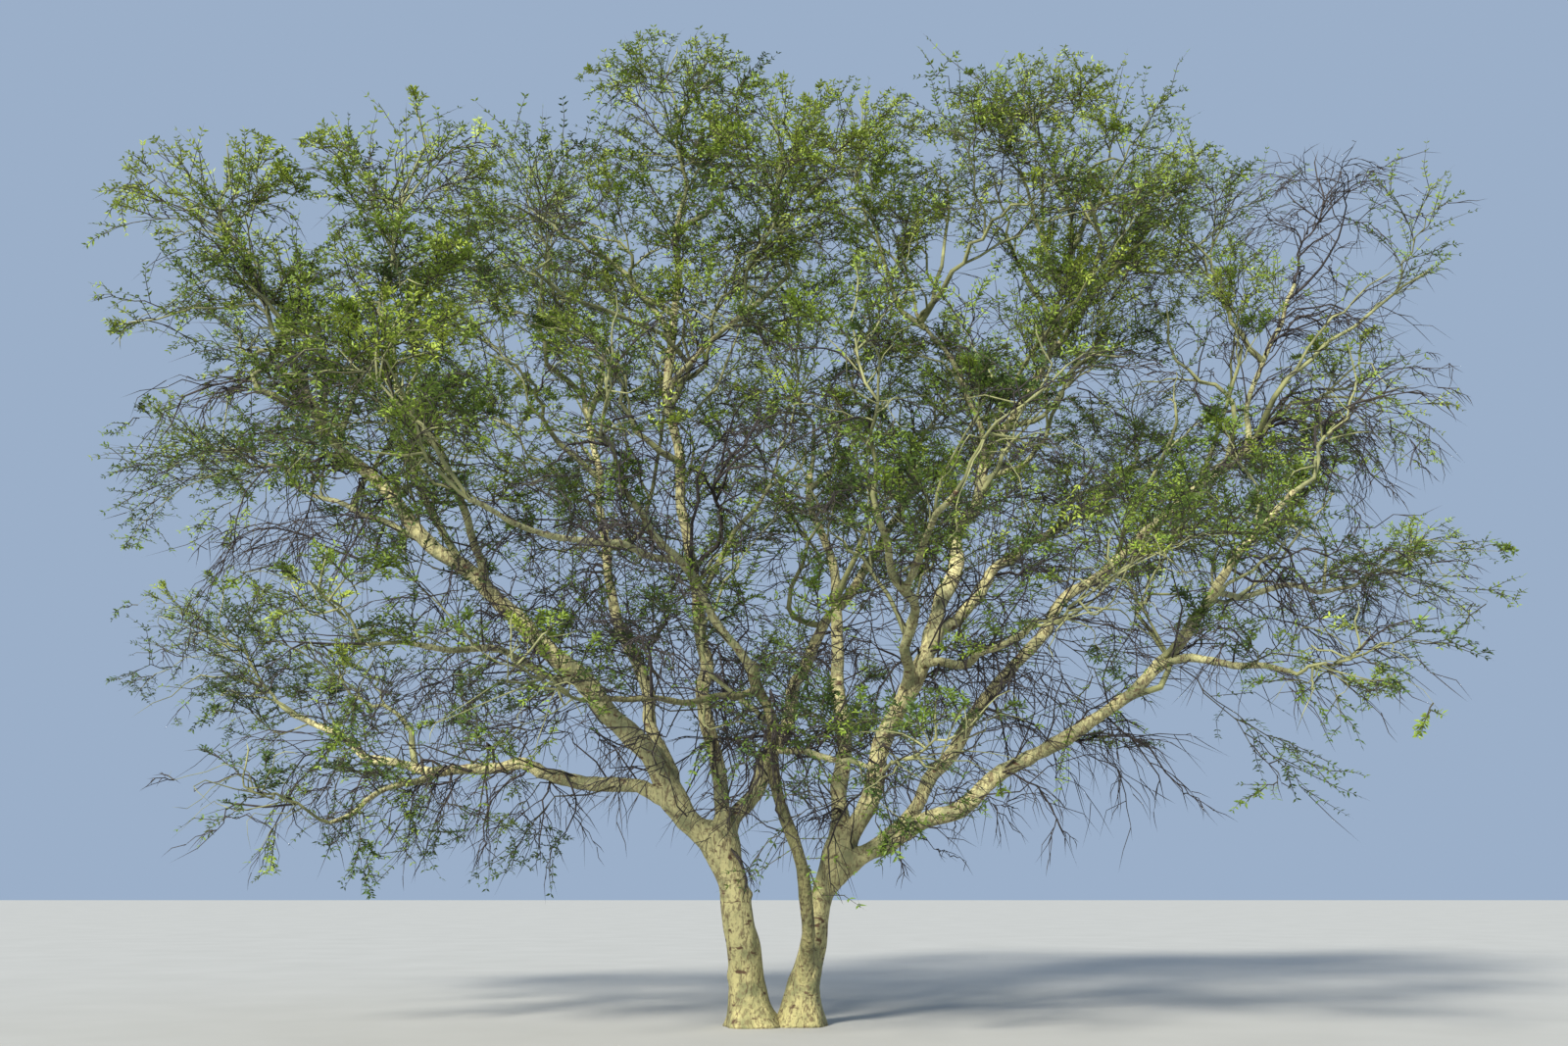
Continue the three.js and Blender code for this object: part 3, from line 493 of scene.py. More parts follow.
def bowed_curve(foot, tip, bows):
    """A smooth curve from foot to tip whose middle points stand off the straight line by the bows."""
    shares = [(i + 1) / (len(bows) + 1) for i in range(len(bows))]
    middles = [foot + (tip - foot) * share + bow for share, bow in zip(shares, bows)]
    points = np.array([foot, *middles, tip])
    ends = np.vstack([2 * points[0] - points[1], points, 2 * points[-1] - points[-2]])
    t = np.linspace(0, len(points) - 1, CURVE_STEPS)
    i = np.minimum(t.astype(int), len(points) - 2)
    u = (t - i)[:, None]
    a, b = ends[i + 1], ends[i + 2]
    slope_a, slope_b = (b - ends[i]) / 2, (ends[i + 3] - a) / 2
    cubic = (2 * a - 2 * b + slope_a + slope_b) * u**3
    square = (3 * b - 3 * a - 2 * slope_a - slope_b) * u**2
    return respaced(cubic + square + slope_a * u + a, CURVE_POINTS)


def curve_at(curve, share):
    places = np.linspace(0, 1, len(curve))
    return np.stack([np.interp(share, places, curve[:, k]) for k in range(3)], axis=-1)


def heading_on(curve, share):
    step = 1 / len(curve)
    return unit(curve_at(curve, np.minimum(share + step, 1)) - curve_at(curve, np.maximum(share - step, 0)))


# Limbs

def lumps(points, size, seed):
    """Smooth noise from -1 to 1 at each point, with lumps of about one size."""
    shift = Vector([seed * step for step in SEED_SHIFTS])
    return np.array([noise.noise(Vector(p) / size + shift) for p in points])


def wander(points, size, seed):
    """Smooth noise along each axis at each point."""
    return np.stack([lumps(points + AXIS_SHIFT * k, size, seed) for k in range(3)], -1)


def freedom(shares, length):
    """How freely a line may wander at each share, from 0 at its ends to 1 away from them."""
    return np.minimum(1, np.minimum(shares - shares[0], 1 - shares) * length / STEADY_END)


def kinked(curve, seed, reach):
    """A curve that wanders a little along its way, as the limbs in the photo do."""
    free = freedom(np.linspace(0, 1, len(curve)), run_length(curve))
    return curve + wander(curve, KINK_SIZE, seed) * (reach * free)[:, None]


def grow_limb(row, limbs):
    """A limb of the table with its curve, its length in metres and its radius at both ends."""
    name, parent, at, tip, bows, girth = row
    tip = np.array(tip, float)
    if parent:
        foot = curve_at(limbs[parent]["curve"], at)
    else:
        foot = np.array(TRUNK_FEET[name], float)
        foot = foot - unit(tip - foot) * FOOT_DEPTH
    curve = bowed_curve(foot, tip, np.array(bows, float))
    if parent:
        curve = kinked(curve, len(limbs), KINK_REACH)
    return {
        "name": name,
        "from": parent,
        "at": at,
        "curve": curve,
        "length": run_length(curve),
        "ends": (girth[0] / GIRTH_PER_RADIUS, girth[1] / GIRTH_PER_RADIUS),
        "thick": girth[0] >= THICK_GIRTH,
    }


def limb_radius(limb, share):
    """A limb's radius at a share along it, without flare or relief."""
    foot, end = limb["ends"]
    return foot + (end - foot) * share


def flare(height, angle):
    """How much wider than its own radius a trunk is near the ground."""
    lobes = 1 + FLARE_LOBE_DEPTH * np.cos(FLARE_LOBES * angle)
    return 1 + FLARE_WIDTH * lobes * np.exp(-np.maximum(height, 0) / FLARE_HEIGHT)


def ring_frames(centres):
    """Two directions across a line at each of its points, turning as little as they can."""
    headings = unit(np.gradient(centres, axis=0))
    across = np.empty_like(centres)
    side = np.cross(headings[0], START_SIDE)
    for i, heading in enumerate(headings):
        side = side - heading * (side @ heading)
        side = side / np.linalg.norm(side)
        across[i] = side
    return headings, across, np.cross(headings, across)


def grid_faces(rows, sides):
    """Two triangles for each cell between rings of points."""
    row, side = np.meshgrid(np.arange(rows - 1), np.arange(sides), indexing="ij")
    a = row * sides + side
    b = row * sides + (side + 1) % sides
    c, d = b + sides, a + sides
    return np.concatenate([np.stack([a, b, c], -1).reshape(-1, 3), np.stack([a, c, d], -1).reshape(-1, 3)])


def knots(limb, rows, angles, radius, seed):
    """Round swellings and dents scattered over a limb, in metres off its surface."""
    rng = np.random.default_rng(seed)
    rise = np.zeros((len(rows), len(angles)))
    for _ in range(int(limb["length"] / KNOT_GAP) + 1):
        share, angle = rng.random(), rng.random() * 2 * math.pi
        size = limb_radius(limb, share) * rng.uniform(*KNOT_SIZES)
        height = size * KNOT_RISE * rng.choice(KNOT_KINDS)
        along = (rows - share) * limb["length"]
        turn = (angles - angle + math.pi) % (2 * math.pi) - math.pi
        around = turn[None] * radius[:, None]
        rise += height * np.exp(-(along[:, None] ** 2 + around**2) / (KNOT_SPREAD * size) ** 2)
    return rise


def near_limbs(limb, limbs):
    """The limbs that this one grows from, carries, or shares a fork with."""
    found = []
    for other in limbs.values():
        carried = limb["name"] == other["from"] or other["name"] == limb["from"]
        same_fork = limb["from"] == other["from"] and abs(limb["at"] - other["at"]) < FORK_SPAN
        if other is not limb and (carried or same_fork):
            found.append(other)
    return found


def fillet(points, outward, limb, other):
    """How far points move outwards so that two limbs run smoothly into each other."""
    blend = FILLET_SHARE * min(limb["ends"][0], other["ends"][0])
    shares = np.linspace(0, 1, CURVE_POINTS)
    radii = limb_radius(other, shares)
    gap = np.full(len(points), FAR)
    for centre, radius in zip(other["curve"], radii):
        gap = np.minimum(gap, np.linalg.norm(points - centre, axis=1) - radius)
    near = np.maximum(0, 1 - np.abs(gap) / blend)
    return outward * (near**2 * blend * FILLET_LIFT)[:, None]


def limb_rows(limb, row_length):
    """Shares along a limb for its rings, from ground level on a trunk."""
    start = 0
    if not limb["from"]:
        start = np.interp(0, limb["curve"][:, 2], np.linspace(0, 1, CURVE_POINTS))
    count = max(LEAST_ROWS, int(limb["length"] * (1 - start) / row_length))
    return np.linspace(start, 1, count)


def wobbly_line(limb, rows, seed):
    """The middle of a limb at its rings, off its smooth curve by a share of its radius."""
    centres = curve_at(limb["curve"], rows)
    play = WOBBLE_SHARE * limb_radius(limb, rows) * freedom(rows, limb["length"])
    return centres + wander(centres, WOBBLE_SIZE, seed) * play[:, None]


def ways_outward(centres, angles):
    """The way along a limb at each ring, and the way outwards at each point of the ring."""
    headings, across, normal = ring_frames(centres)
    cosine, sine = np.cos(angles)[None, :, None], np.sin(angles)[None, :, None]
    return headings, cosine * across[:, None] + sine * normal[:, None]


def relief(surface, radius, seed):
    """Flutes and small lumps on a limb's surface, as shares of its radius."""
    points = surface.reshape(-1, 3)
    flutes = lumps(points * FLUTE_STRETCH, FLUTE_SIZE * radius.mean(), seed + FLUTE_SEED)
    fine = lumps(points * LUMP_STRETCH, LUMP_SIZE * radius.mean(), seed + LUMP_SEED)
    return (1 + FLUTE_SHARE * flutes + LUMP_SHARE * fine).reshape(surface.shape[:2])


def domed(rings, centre, heading, radius):
    """The rings of a limb with a rounded end added."""
    domes = [rings]
    for k in range(1, DOME_ROWS + 1):
        turn = math.pi / 2 * k / (DOME_ROWS + 0.5)
        middle = centre + heading * radius * DOME_RISE * math.sin(turn)
        domes.append((middle + (rings[-1] - centre) * math.cos(turn))[None])
    return np.concatenate(domes)


def closed_tube(rings):
    """Points and faces of a tube of rings that is closed at both ends."""
    count, sides = rings.shape[:2]
    points = np.concatenate([rings.reshape(-1, 3), [rings[0].mean(0), rings[-1].mean(0)]])
    ring = np.arange(sides)
    after = (ring + 1) % sides
    last = (count - 1) * sides
    bottom = np.stack([after, ring, np.full(sides, count * sides)], -1)
    top = np.stack([last + ring, last + after, np.full(sides, count * sides + 1)], -1)
    return points, np.concatenate([grid_faces(count, sides), bottom, top])


def bark_tube(limb, limbs, seed):
    """Points and faces of one limb with flutes, lumps, knots and swollen forks."""
    trunk = not limb["from"]
    sides, row_length = TRUNK_MESH if trunk else LIMB_MESH if limb["thick"] else BOUGH_MESH
    rows = limb_rows(limb, row_length)
    radius = limb_radius(limb, rows)
    centres = wobbly_line(limb, rows, seed)
    angles = np.arange(sides) * 2 * math.pi / sides
    headings, outward = ways_outward(centres, angles)
    swell = 1
    if trunk:
        level = np.exp(-((centres[:, 2] / LEVEL_HEIGHT) ** 2))[:, None, None]
        outward = outward * (1 - level * UP)
        swell = flare(centres[:, 2:3], angles[None])
    surface = centres[:, None] + outward * radius[:, None, None]
    reach = radius[:, None] * swell * relief(surface, radius, seed)
    reach = reach + knots(limb, rows, angles, radius, seed)
    points = (centres[:, None] + outward * reach[..., None]).reshape(-1, 3)
    for other in near_limbs(limb, limbs):
        points = points + fillet(points, outward.reshape(-1, 3), limb, other)
    rings = domed(points.reshape(outward.shape), centres[-1], headings[-1], radius[-1])
    rings[..., 2] = np.maximum(rings[..., 2], 0)
    return closed_tube(rings)


# Masses

def first_random(seed):
    """The first number from 0 to 1 that a seed gives, the same as in the part's source."""
    return seed * RANDOM_FACTOR % RANDOM_LIMIT / RANDOM_LIMIT


def heading_at(i, count, first_turn):
    """The i-th of a count of directions spread evenly over a ball, from near the top down."""
    height = 1 - 2 * (i + TOP_ROOM) / (count + END_ROOM)
    out = np.sqrt(1 - height * height)
    angle = first_turn + i * GOLDEN_ANGLE
    return np.array([out * math.cos(angle), out * math.sin(angle), height])


def grow_mass(row, index, limbs):
    """A mass's space and the stem that goes on from its limb."""
    name, carrier, share, centre, half = row
    limb = limbs[carrier]
    on_side = share < 1
    middle, reach = np.array(centre, float), np.array(half, float)
    start = curve_at(limb["curve"], share)
    end = middle + UP * reach[2] * STEM_RISE
    turn = 0 if on_side else np.linalg.norm(end - start) * STEM_TURN
    onward = heading_on(limb["curve"], share) * turn
    foot = limb_radius(limb, share) * (SIDE_STEM_SHRINK if on_side else STEM_SHRINK)
    full, dying = THIN_MASSES.get(name, (1, 0))
    return {
        "name": name,
        "index": index,
        "middle": middle,
        "reach": reach,
        "stem": kinked(bowed_curve(start, end, [onward]), index, STEM_KINK),
        "stem_ends": (foot, min(foot, STEM_END)),
        "first_turn": first_random(SEED + index) * 2 * math.pi,
        "dead": name in DEAD_MASSES,
        "full": full,
        "dying": dying,
    }


# Twigs in batches. A batch holds rows of points, radii, the number of a mass or -1, a live mark
# and a tint for each twig.

def batch(points, radius, mass, live, tint):
    return {"points": points, "radius": radius, "mass": mass, "live": live, "tint": tint}


def loose_batch(points, radius, live):
    """A batch that belongs to no mass."""
    total = len(points)
    return batch(points, radius, np.full(total, -1), live, np.zeros(total, int))


def joined(*batches):
    return {key: np.concatenate([one[key] for one in batches]) for key in batches[0]}


def chosen(twigs, keep):
    return {key: values[keep] for key, values in twigs.items()}


def twig_points(roots, tips, bows, rows, bend, rng, swing=0.0):
    """Rows of points along bowed twigs that swing to each side in an S and have small bends."""
    share = np.linspace(0, 1, rows)[None, :, None]
    straight = roots[:, None] * (1 - share) + tips[:, None] * share
    length = np.linalg.norm(tips - roots, axis=1)[:, None, None]
    middle = share * (1 - share) > 0
    hand = np.where(np.arange(rows) % 2, 1, -1)[None, :, None]
    total = len(roots)
    sway = rng.normal(size=(total, rows, 3)) * SWAY_NOISE + unit(rng.normal(size=(total, 1, 3))) * hand
    ess = rng.normal(size=(total, 1, 3)) * np.sin(2 * math.pi * share)
    bent = bend * length * sway * middle + swing * length * ess
    return straight + 4 * share * (1 - share) * bows[:, None] + bent


def on_rows(points, shares):
    """Places and headings at shares along each twig's straight runs."""
    last = points.shape[1] - 1
    run = np.minimum((shares * last).astype(int), last - 1)
    twig = np.arange(len(points))[:, None]
    start, end = points[twig, run], points[twig, run + 1]
    places = start + (end - start) * (shares * last - run)[..., None]
    return places, unit(end - start)


def offshoots(twigs, count, ends, swing, rise, rng):
    """Roots and directions of new growth along twigs, on one side and the other in turn."""
    total = len(twigs["points"])
    shares = ends[0] + (ends[1] - ends[0]) * (np.arange(count) + rng.random((total, count))) / count
    places, headings = on_rows(twigs["points"], shares)
    sides = unit(np.cross(UP, headings) + SIDE_NOISE * rng.normal(size=headings.shape))
    turn = rng.uniform(*swing, shares.shape)[..., None]
    hand = np.where((np.arange(count) + rng.integers(0, 2, (total, 1))) % 2, 1, -1)[..., None]
    outward = unit(headings * np.cos(turn) + sides * np.sin(turn) * hand + rise * UP)
    parent = np.repeat(np.arange(total), count)
    return parent, shares.ravel(), places.reshape(-1, 3), outward.reshape(-1, 3)


def rim_shares(masses, points):
    """How far each point is out towards each mass's rim, as a share."""
    middles = np.array([mass["middle"] for mass in masses])
    reaches = np.array([mass["reach"] for mass in masses])
    return np.linalg.norm((points[:, None] - middles) / reaches, axis=2)


def room(masses, mass, roots, headings):
    """How far each twig can run before it meets the rim of its mass's space."""
    middles = np.array([one["middle"] for one in masses])[mass]
    reaches = np.array([one["reach"] for one in masses])[mass]
    start, step = (roots - middles) / reaches, headings / reaches
    a = (step**2).sum(1)
    b = (start * step).sum(1)
    c = (start**2).sum(1) - 1
    run = (-b + np.sqrt(np.maximum(b * b - a * c, 0))) / a
    return np.where(mass < 0, FAR, np.maximum(run, 0))


def owned(masses, mass, points):
    """Whether each point lies nearer to its own mass than to any other."""
    shares = rim_shares(masses, points)
    own = shares[np.arange(len(points)), mass]
    return (mass < 0) | (own <= shares.min(1) + SPACE_SLACK)


def in_crown(tips):
    """Whether each tip is clear of the ground and not past the crown's furthest tips."""
    return ((tips > CROWN_LOW) & (tips < CROWN_HIGH)).all(1)


def thinned(masses, mass, rng):
    """Which twigs stay, so that small and thin masses get their share of them."""
    space = np.array([np.prod(one["reach"]) for one in masses]) / FULL_SPACE
    keep = np.clip(space, LEAST_FULL, 1) * [one["full"] for one in masses]
    return (mass < 0) | (rng.random(len(mass)) < keep[mass])


def finer(twigs, rule, masses, rng):
    """The next, finer twigs on a batch, kept to each mass's own space."""
    parent, shares, roots, headings = offshoots(
        twigs, rule["count"], rule["ends"], rule["swing"], rule["rise"], rng
    )
    whole = np.linalg.norm(twigs["points"][parent, -1] - twigs["points"][parent, 0], axis=1)
    length = np.minimum(whole * (rule["share"] - rule["taper"] * shares), rule["longest"])
    length = length * rng.uniform(*LENGTH_SPREAD, len(length))
    mass = twigs["mass"][parent]
    live = twigs["live"][parent] & (rng.random(len(parent)) > rule["dying"])
    live = live & (lumps(roots * PATCH_SHAPE, PATCH_SIZE, PATCH_SEED) > rule["patchy"])
    headings = unit(headings - UP * np.where(live, 0, rule["droop"])[:, None])
    length = np.minimum(length, room(masses, mass, roots, headings))
    tips = roots + headings * length[:, None]
    kept = live | (rng.random(len(parent)) < rule["dead"])
    keep = kept & (length > rule["shortest"]) & owned(masses, mass, tips) & in_crown(tips)
    parent, roots, tips, shares = parent[keep], roots[keep], tips[keep], shares[keep]
    rows = twigs["radius"].shape[1] - 1
    thick = twigs["radius"][parent, np.round(shares * rows).astype(int)]
    foot = np.clip(thick * rule["shrink"], rule["thin"], rule["thick"])
    radius = foot[:, None] * np.linspace(1, rule["end"], rule["rows"])
    bows = UP * (rule["lift"] * length[keep])[:, None]
    points = twig_points(roots, tips, bows, rule["rows"], rule["bend"], rng)
    return batch(points, radius, mass[keep], live[keep], twigs["tint"][parent])


def stems(masses, rng):
    """The stem of each mass, carried on to the top of its space."""
    lines, radii = [], []
    rise = np.linspace(0, 1, STEM_ROWS)[:, None]
    for mass in masses:
        top = mass["middle"] + UP * mass["reach"][2] * REACH
        stem = curve_at(mass["stem"], rise[:, 0])
        onward = kinked(stem[-1] + (top - stem[-1]) * rise, mass["index"], STEM_KINK)
        line = respaced(np.concatenate([stem, onward[1:]]), STEM_ROWS)
        line[1:-1] += rng.normal(size=(STEM_ROWS - 2, 3)) * STEM_NOISE
        lines.append(line)
        radii.append(np.geomspace(mass["stem_ends"][0], STEM_TIP, STEM_ROWS))
    count = len(masses)
    live = np.array([not mass["dead"] for mass in masses])
    return batch(np.array(lines), np.array(radii), np.arange(count), live, np.zeros(count, int))


def mains(masses, rng):
    """Twigs from each stem to points spread evenly round the rim, thick ones and then finer ones."""
    roots, tips, feet, owners, bows = [], [], [], [], []
    for mass in masses:
        foot, end = mass["stem_ends"]
        counts = (DEAD_MAIN_TWIGS, FINE_DEAD) if mass["dead"] else (MAIN_TWIGS, FINE_MAINS)
        lift = DEAD_LIFT if mass["dead"] else LEAF_LIFT
        for fine, count in enumerate(counts):
            for i in range(count):
                heading = heading_at(i, count, mass["first_turn"] + fine)
                share = LAST_TWIG + (FIRST_TWIG - LAST_TWIG) * i / count
                root = curve_at(mass["stem"], share)
                inwards = rng.uniform(*FINE_INWARDS) if fine else 1
                tip = mass["middle"] + heading * mass["reach"] * REACH * inwards
                onward = heading_on(mass["stem"], share) * MAIN_ONWARD
                bows.append(np.linalg.norm(tip - root) * (onward + UP * lift))
                roots.append(root)
                tips.append(tip)
                feet.append((foot + (end - foot) * share) * MAIN_SHRINK * (FINE_SHRINK if fine else 1))
                owners.append(mass["index"])
    roots, tips, owners = np.array(roots), np.array(tips), np.array(owners)
    radius = np.array(feet)[:, None] * MAIN_SWELL * np.geomspace(1, TWIG_TAPER, MAIN_ROWS)
    points = twig_points(roots, tips, np.array(bows), MAIN_ROWS, MAIN_BEND, rng, S_BEND)
    dying = np.array([mass["dying"] for mass in masses])[owners]
    dead = np.array([mass["dead"] for mass in masses])[owners]
    live = ~dead & (rng.random(len(owners)) > dying)
    twigs = batch(points, radius, owners, live, np.zeros(len(owners), int))
    return chosen(twigs, owned(masses, owners, points[:, -2]))


def limb_growth(limbs, rule, masses, rng):
    """New growth all round the outer part of every limb, left out where the crown is open."""
    roots, tips, feet, bows, risks = [], [], [], [], []
    first, last = rule["ends"]
    for limb in limbs.values():
        count = int(limb["length"] * (last - first) / rule["gap"]) if limb["from"] else 0
        turn = rng.random() * 2 * math.pi
        for i in range(count):
            share = first + (last - first) * (i + rng.random()) / count
            place, heading = curve_at(limb["curve"], share), heading_on(limb["curve"], share)
            side = unit(np.cross(heading, GROWTH_SIDE))
            angle = turn + i * GOLDEN_ANGLE
            around = side * math.cos(angle) + np.cross(heading, side) * math.sin(angle)
            outward = unit(around + GROWTH_ONWARD * heading + GROWTH_RISE * UP)
            length = rng.uniform(*rule["reach"]) * (GROWTH_LENGTHS[0] + GROWTH_LENGTHS[1] * share)
            bow = BOW_ONWARD * heading + BOW_RISE * UP + rng.normal(size=3) * BOW_NOISE
            roots.append(place)
            tips.append(place + outward * length)
            bows.append(length * bow)
            feet.append(limb_radius(limb, share) * (GROWTH_GIRTHS[0] + GROWTH_GIRTHS[1] * length))
            risks.append(rule["dying"] + BARE_INSIDE * (1 - share) + DYING_LIMBS.get(limb["name"], 0))
    roots, tips = np.array(roots), np.array(tips)
    radius = np.clip(feet, *rule["foot"])[:, None] * np.geomspace(1, TWIG_TAPER, rule["rows"])
    points = twig_points(roots, tips, np.array(bows), rule["rows"], rule["bend"], rng, S_BEND)
    twigs = loose_batch(points, radius, rng.random(len(roots)) > risks)
    close = rim_shares(masses, tips).min(1) < rule["open"]
    return chosen(twigs, close & in_crown(tips) & (roots[:, 2] > LOWEST_GROWTH))


def side_boughs(limbs, rng):
    """The side boughs of the table, bent a little along their way."""
    roots = np.array([curve_at(limbs[name]["curve"], share) for name, share, _, _ in SIDE_BOUGHS])
    tips = roots + [reach for _, _, reach, _ in SIDE_BOUGHS]
    bows = np.array([bow for _, _, _, bow in SIDE_BOUGHS])
    rows = BOUGHS_RULE["rows"]
    radius = np.full((len(roots), 1), SIDE_BOUGH_FOOT) * np.geomspace(1, SIDE_BOUGH_TAPER, rows)
    points = twig_points(roots, tips, bows, rows, BOUGHS_RULE["bend"], rng, S_BEND)
    return loose_batch(points, radius, np.full(len(roots), True))


def hanging_branches(limbs, rng):
    """Dead branches that rise a little from a limb, arch over and hang."""
    roots, tips = [], []
    for name, share, reach, count in HANGING:
        for _ in range(count):
            at = min(share + rng.normal() * HANGING_SPREAD, 1)
            place = curve_at(limbs[name]["curve"], at)
            away = np.array(reach) * rng.uniform(*HANGING_LENGTHS) + rng.normal(size=3) * HANGING_NOISE
            roots.append(place)
            tips.append(place + away)
    roots, tips = np.array(roots), np.array(tips)
    rows = BRANCHES_RULE["rows"]
    radius = np.full((len(roots), 1), HANGING_FOOT) * np.linspace(1, HANGING_TAPER, rows)
    bows = UP * HANGING_LIFT * np.linalg.norm(tips - roots, axis=1)[:, None]
    points = twig_points(roots, tips, bows, rows, HANGING_BEND, rng, S_BEND)
    return chosen(loose_batch(points, radius, np.full(len(roots), False)), in_crown(tips))


def deal_tints(twigs, masses, rng):
    """A tint for each spray with painted light and shade: yellower high up and outside, darker low down and
    inside.
    """
    tips = twigs["points"][:, -1]
    height = (tips[:, 2] - TINT_FLOOR) / TINT_HEIGHT
    place = np.where(twigs["mass"] < 0, LOOSE_PLACE, rim_shares(masses, tips).min(1))
    patch = lumps(tips * PATCH_SHAPE, PATCH_SIZE, TINT_SEED)
    light = TINT_WEIGHT * height + TINT_WEIGHT * place + TINT_WEIGHT * patch
    light = light + rng.normal(size=len(tips)) * TINT_NOISE
    return {**twigs, "tint": np.digitize(light, TINT_STEPS)}


def twig_mesh(twigs, sides):
    """Tapering twigs with pointed ends as one set of points and triangles."""
    line, radius = twigs["points"], twigs["radius"]
    total, rows = radius.shape
    headings = unit(np.gradient(line, axis=1))
    chord = unit(line[:, -1] - line[:, 0])
    lean = np.cross(chord, unit(np.array(SKEW_UP)))[:, None]
    across = unit(lean - headings * (lean * headings).sum(-1, keepdims=True))
    normal = np.cross(headings, across)
    angles = np.arange(sides) * 2 * math.pi / sides
    ring = across[:, :, None] * np.cos(angles)[:, None] + normal[:, :, None] * np.sin(angles)[:, None]
    body = (line[:, :, None] + ring * radius[:, :, None, None])[:, :-1].reshape(total, -1, 3)
    points = np.concatenate([body, line[:, -1:]], axis=1)
    side = np.arange(sides)
    last = (rows - 2) * sides
    tip = np.stack([last + side, last + (side + 1) % sides, np.full(sides, (rows - 1) * sides)], -1)
    faces = np.concatenate([grid_faces(rows - 1, sides), tip])
    return stacked(points, faces)


def stacked(points, faces):
    """One mesh from many copies of the same faces, each with points of its own."""
    total, each = points.shape[:2]
    shifted = faces[None] + (np.arange(total) * each)[:, None, None]
    return points.reshape(-1, 3), shifted.reshape(-1, 3)


def together(meshes):
    """Several sets of points and faces as one."""
    starts = np.cumsum([0] + [len(points) for points, _ in meshes[:-1]])
    faces = [faces + start for (_, faces), start in zip(meshes, starts)]
    return np.concatenate([points for points, _ in meshes]), np.concatenate(faces)


def leaf_mesh(roots, headings, flats, sizes):
    """Pairs of leaflets, each folded along its middle and pointed at its tip."""
    across = unit(np.cross(flats, headings))
    normal = np.cross(headings, across)
    pieces = []
    faces = []
    for turn, length in LEAFLETS:
        along = headings * math.cos(turn) + across * math.sin(turn)
        half = np.cross(normal, along) * sizes * length * LEAFLET_HALF
        raised = roots + along * sizes * length * LEAFLET_WIDEST + normal * sizes * LEAFLET_FOLD
        first = len(pieces)
        pieces += [roots, raised - half, roots + along * sizes * length, raised + half]
        faces += [[first, first + 1, first + 2], [first, first + 2, first + 3]]
    return stacked(np.stack(pieces, axis=1), np.array(faces))


def leaves_on(twigs, count, ends, rng):
    """Leaves along live twigs, on one side and the other in turn, and their tints."""
    live = chosen(twigs, twigs["live"])
    parent, _, roots, headings = offshoots(live, count, ends, LEAF_SWING, LEAF_RISE, rng)
    flats = unit(UP + rng.normal(size=roots.shape) * LEAF_TILT)
    sizes = rng.uniform(*LEAF_SIZE, (len(roots), 1))
    return roots, headings, flats, sizes, live["tint"][parent]


# Pieces

def mesh_piece(name, points, faces, material, nodes, smooth):
    """A joined mesh as one piece of the tree that stands for some of the part's nodes."""
    mesh = bpy.data.meshes.new(name)
    mesh.vertices.add(len(points))
    mesh.vertices.foreach_set("co", np.ascontiguousarray(points, np.float32).ravel())
    mesh.loops.add(faces.size)
    mesh.loops.foreach_set("vertex_index", np.ascontiguousarray(faces, np.int32).ravel())
    mesh.polygons.add(len(faces))
    mesh.polygons.foreach_set("loop_start", np.arange(0, faces.size, 3, dtype=np.int32))
    mesh.polygons.foreach_set("use_smooth", np.full(len(faces), smooth))
    mesh.update(calc_edges=True)
    mesh.materials.append(material)
    piece = linked(name, mesh)
    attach(piece, "root")
    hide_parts(*nodes)


def linked(name, data):
    """A new object in the scene, for a mesh, a camera or a light."""
    made = bpy.data.objects.new(name, data)
    bpy.context.scene.collection.objects.link(made)
    return made


def plain_material(name, colour, roughness):
    material = bpy.data.materials.new(name)
    material.use_nodes = True
    shader = material.node_tree.nodes["Principled BSDF"]
    shader.inputs["Base Color"].default_value = (*colour, 1)
    shader.inputs["Roughness"].default_value = roughness
    return material, material.node_tree, shader


def noise_node(tree, scale, detail, stretch=(1, 1, 1)):
    """Noise in the tree's own metres, stretched along some axes."""
    place = tree.nodes.new("ShaderNodeTexCoord")
    mapping = tree.nodes.new("ShaderNodeMapping")
    mapping.inputs["Scale"].default_value = stretch
    made = tree.nodes.new("ShaderNodeTexNoise")
    made.inputs["Scale"].default_value = scale
    made.inputs["Detail"].default_value = detail
    tree.links.new(place.outputs["Object"], mapping.inputs["Vector"])
    tree.links.new(mapping.outputs["Vector"], made.inputs["Vector"])
    return made.outputs["Fac"]


def ramp_node(tree, value, places, colours):
    """A colour for each value, from colours at some places."""
    ramp = tree.nodes.new("ShaderNodeValToRGB")
    elements = ramp.color_ramp.elements
    while len(elements) < len(places):
        elements.new(1)
    for element, place, colour in zip(elements, places, colours):
        element.position = place
        element.color = (*colour, 1)
    tree.links.new(value, ramp.inputs["Fac"])
    return ramp.outputs["Color"]


def mask_node(tree, value, stops):
    """A share from 0 to 1 for each value, as a grey."""
    places = [place for place, _ in stops]
    greys = [(share, share, share) for _, share in stops]
    return ramp_node(tree, value, places, greys)


def mix_node(tree, share, first, second, blend="MIX"):
    """A share of the second colour over the first one. The second is a plain colour."""
    mix = tree.nodes.new("ShaderNodeMix")
    mix.data_type = "RGBA"
    mix.blend_type = blend
    tree.links.new(share, mix.inputs["Factor"])
    tree.links.new(first, mix.inputs[FIRST_COLOUR])
    mix.inputs[SECOND_COLOUR].default_value = (*second, 1)
    return mix.outputs[MIXED_COLOUR]


def bump_node(tree, shader, height, distance, strength):
    """Fine relief in a shader from a height at each point."""
    bump = tree.nodes.new("ShaderNodeBump")
    bump.inputs["Distance"].default_value = distance
    bump.inputs["Strength"].default_value = strength
    tree.links.new(height, bump.inputs["Height"])
    tree.links.new(bump.outputs["Normal"], shader.inputs["Normal"])


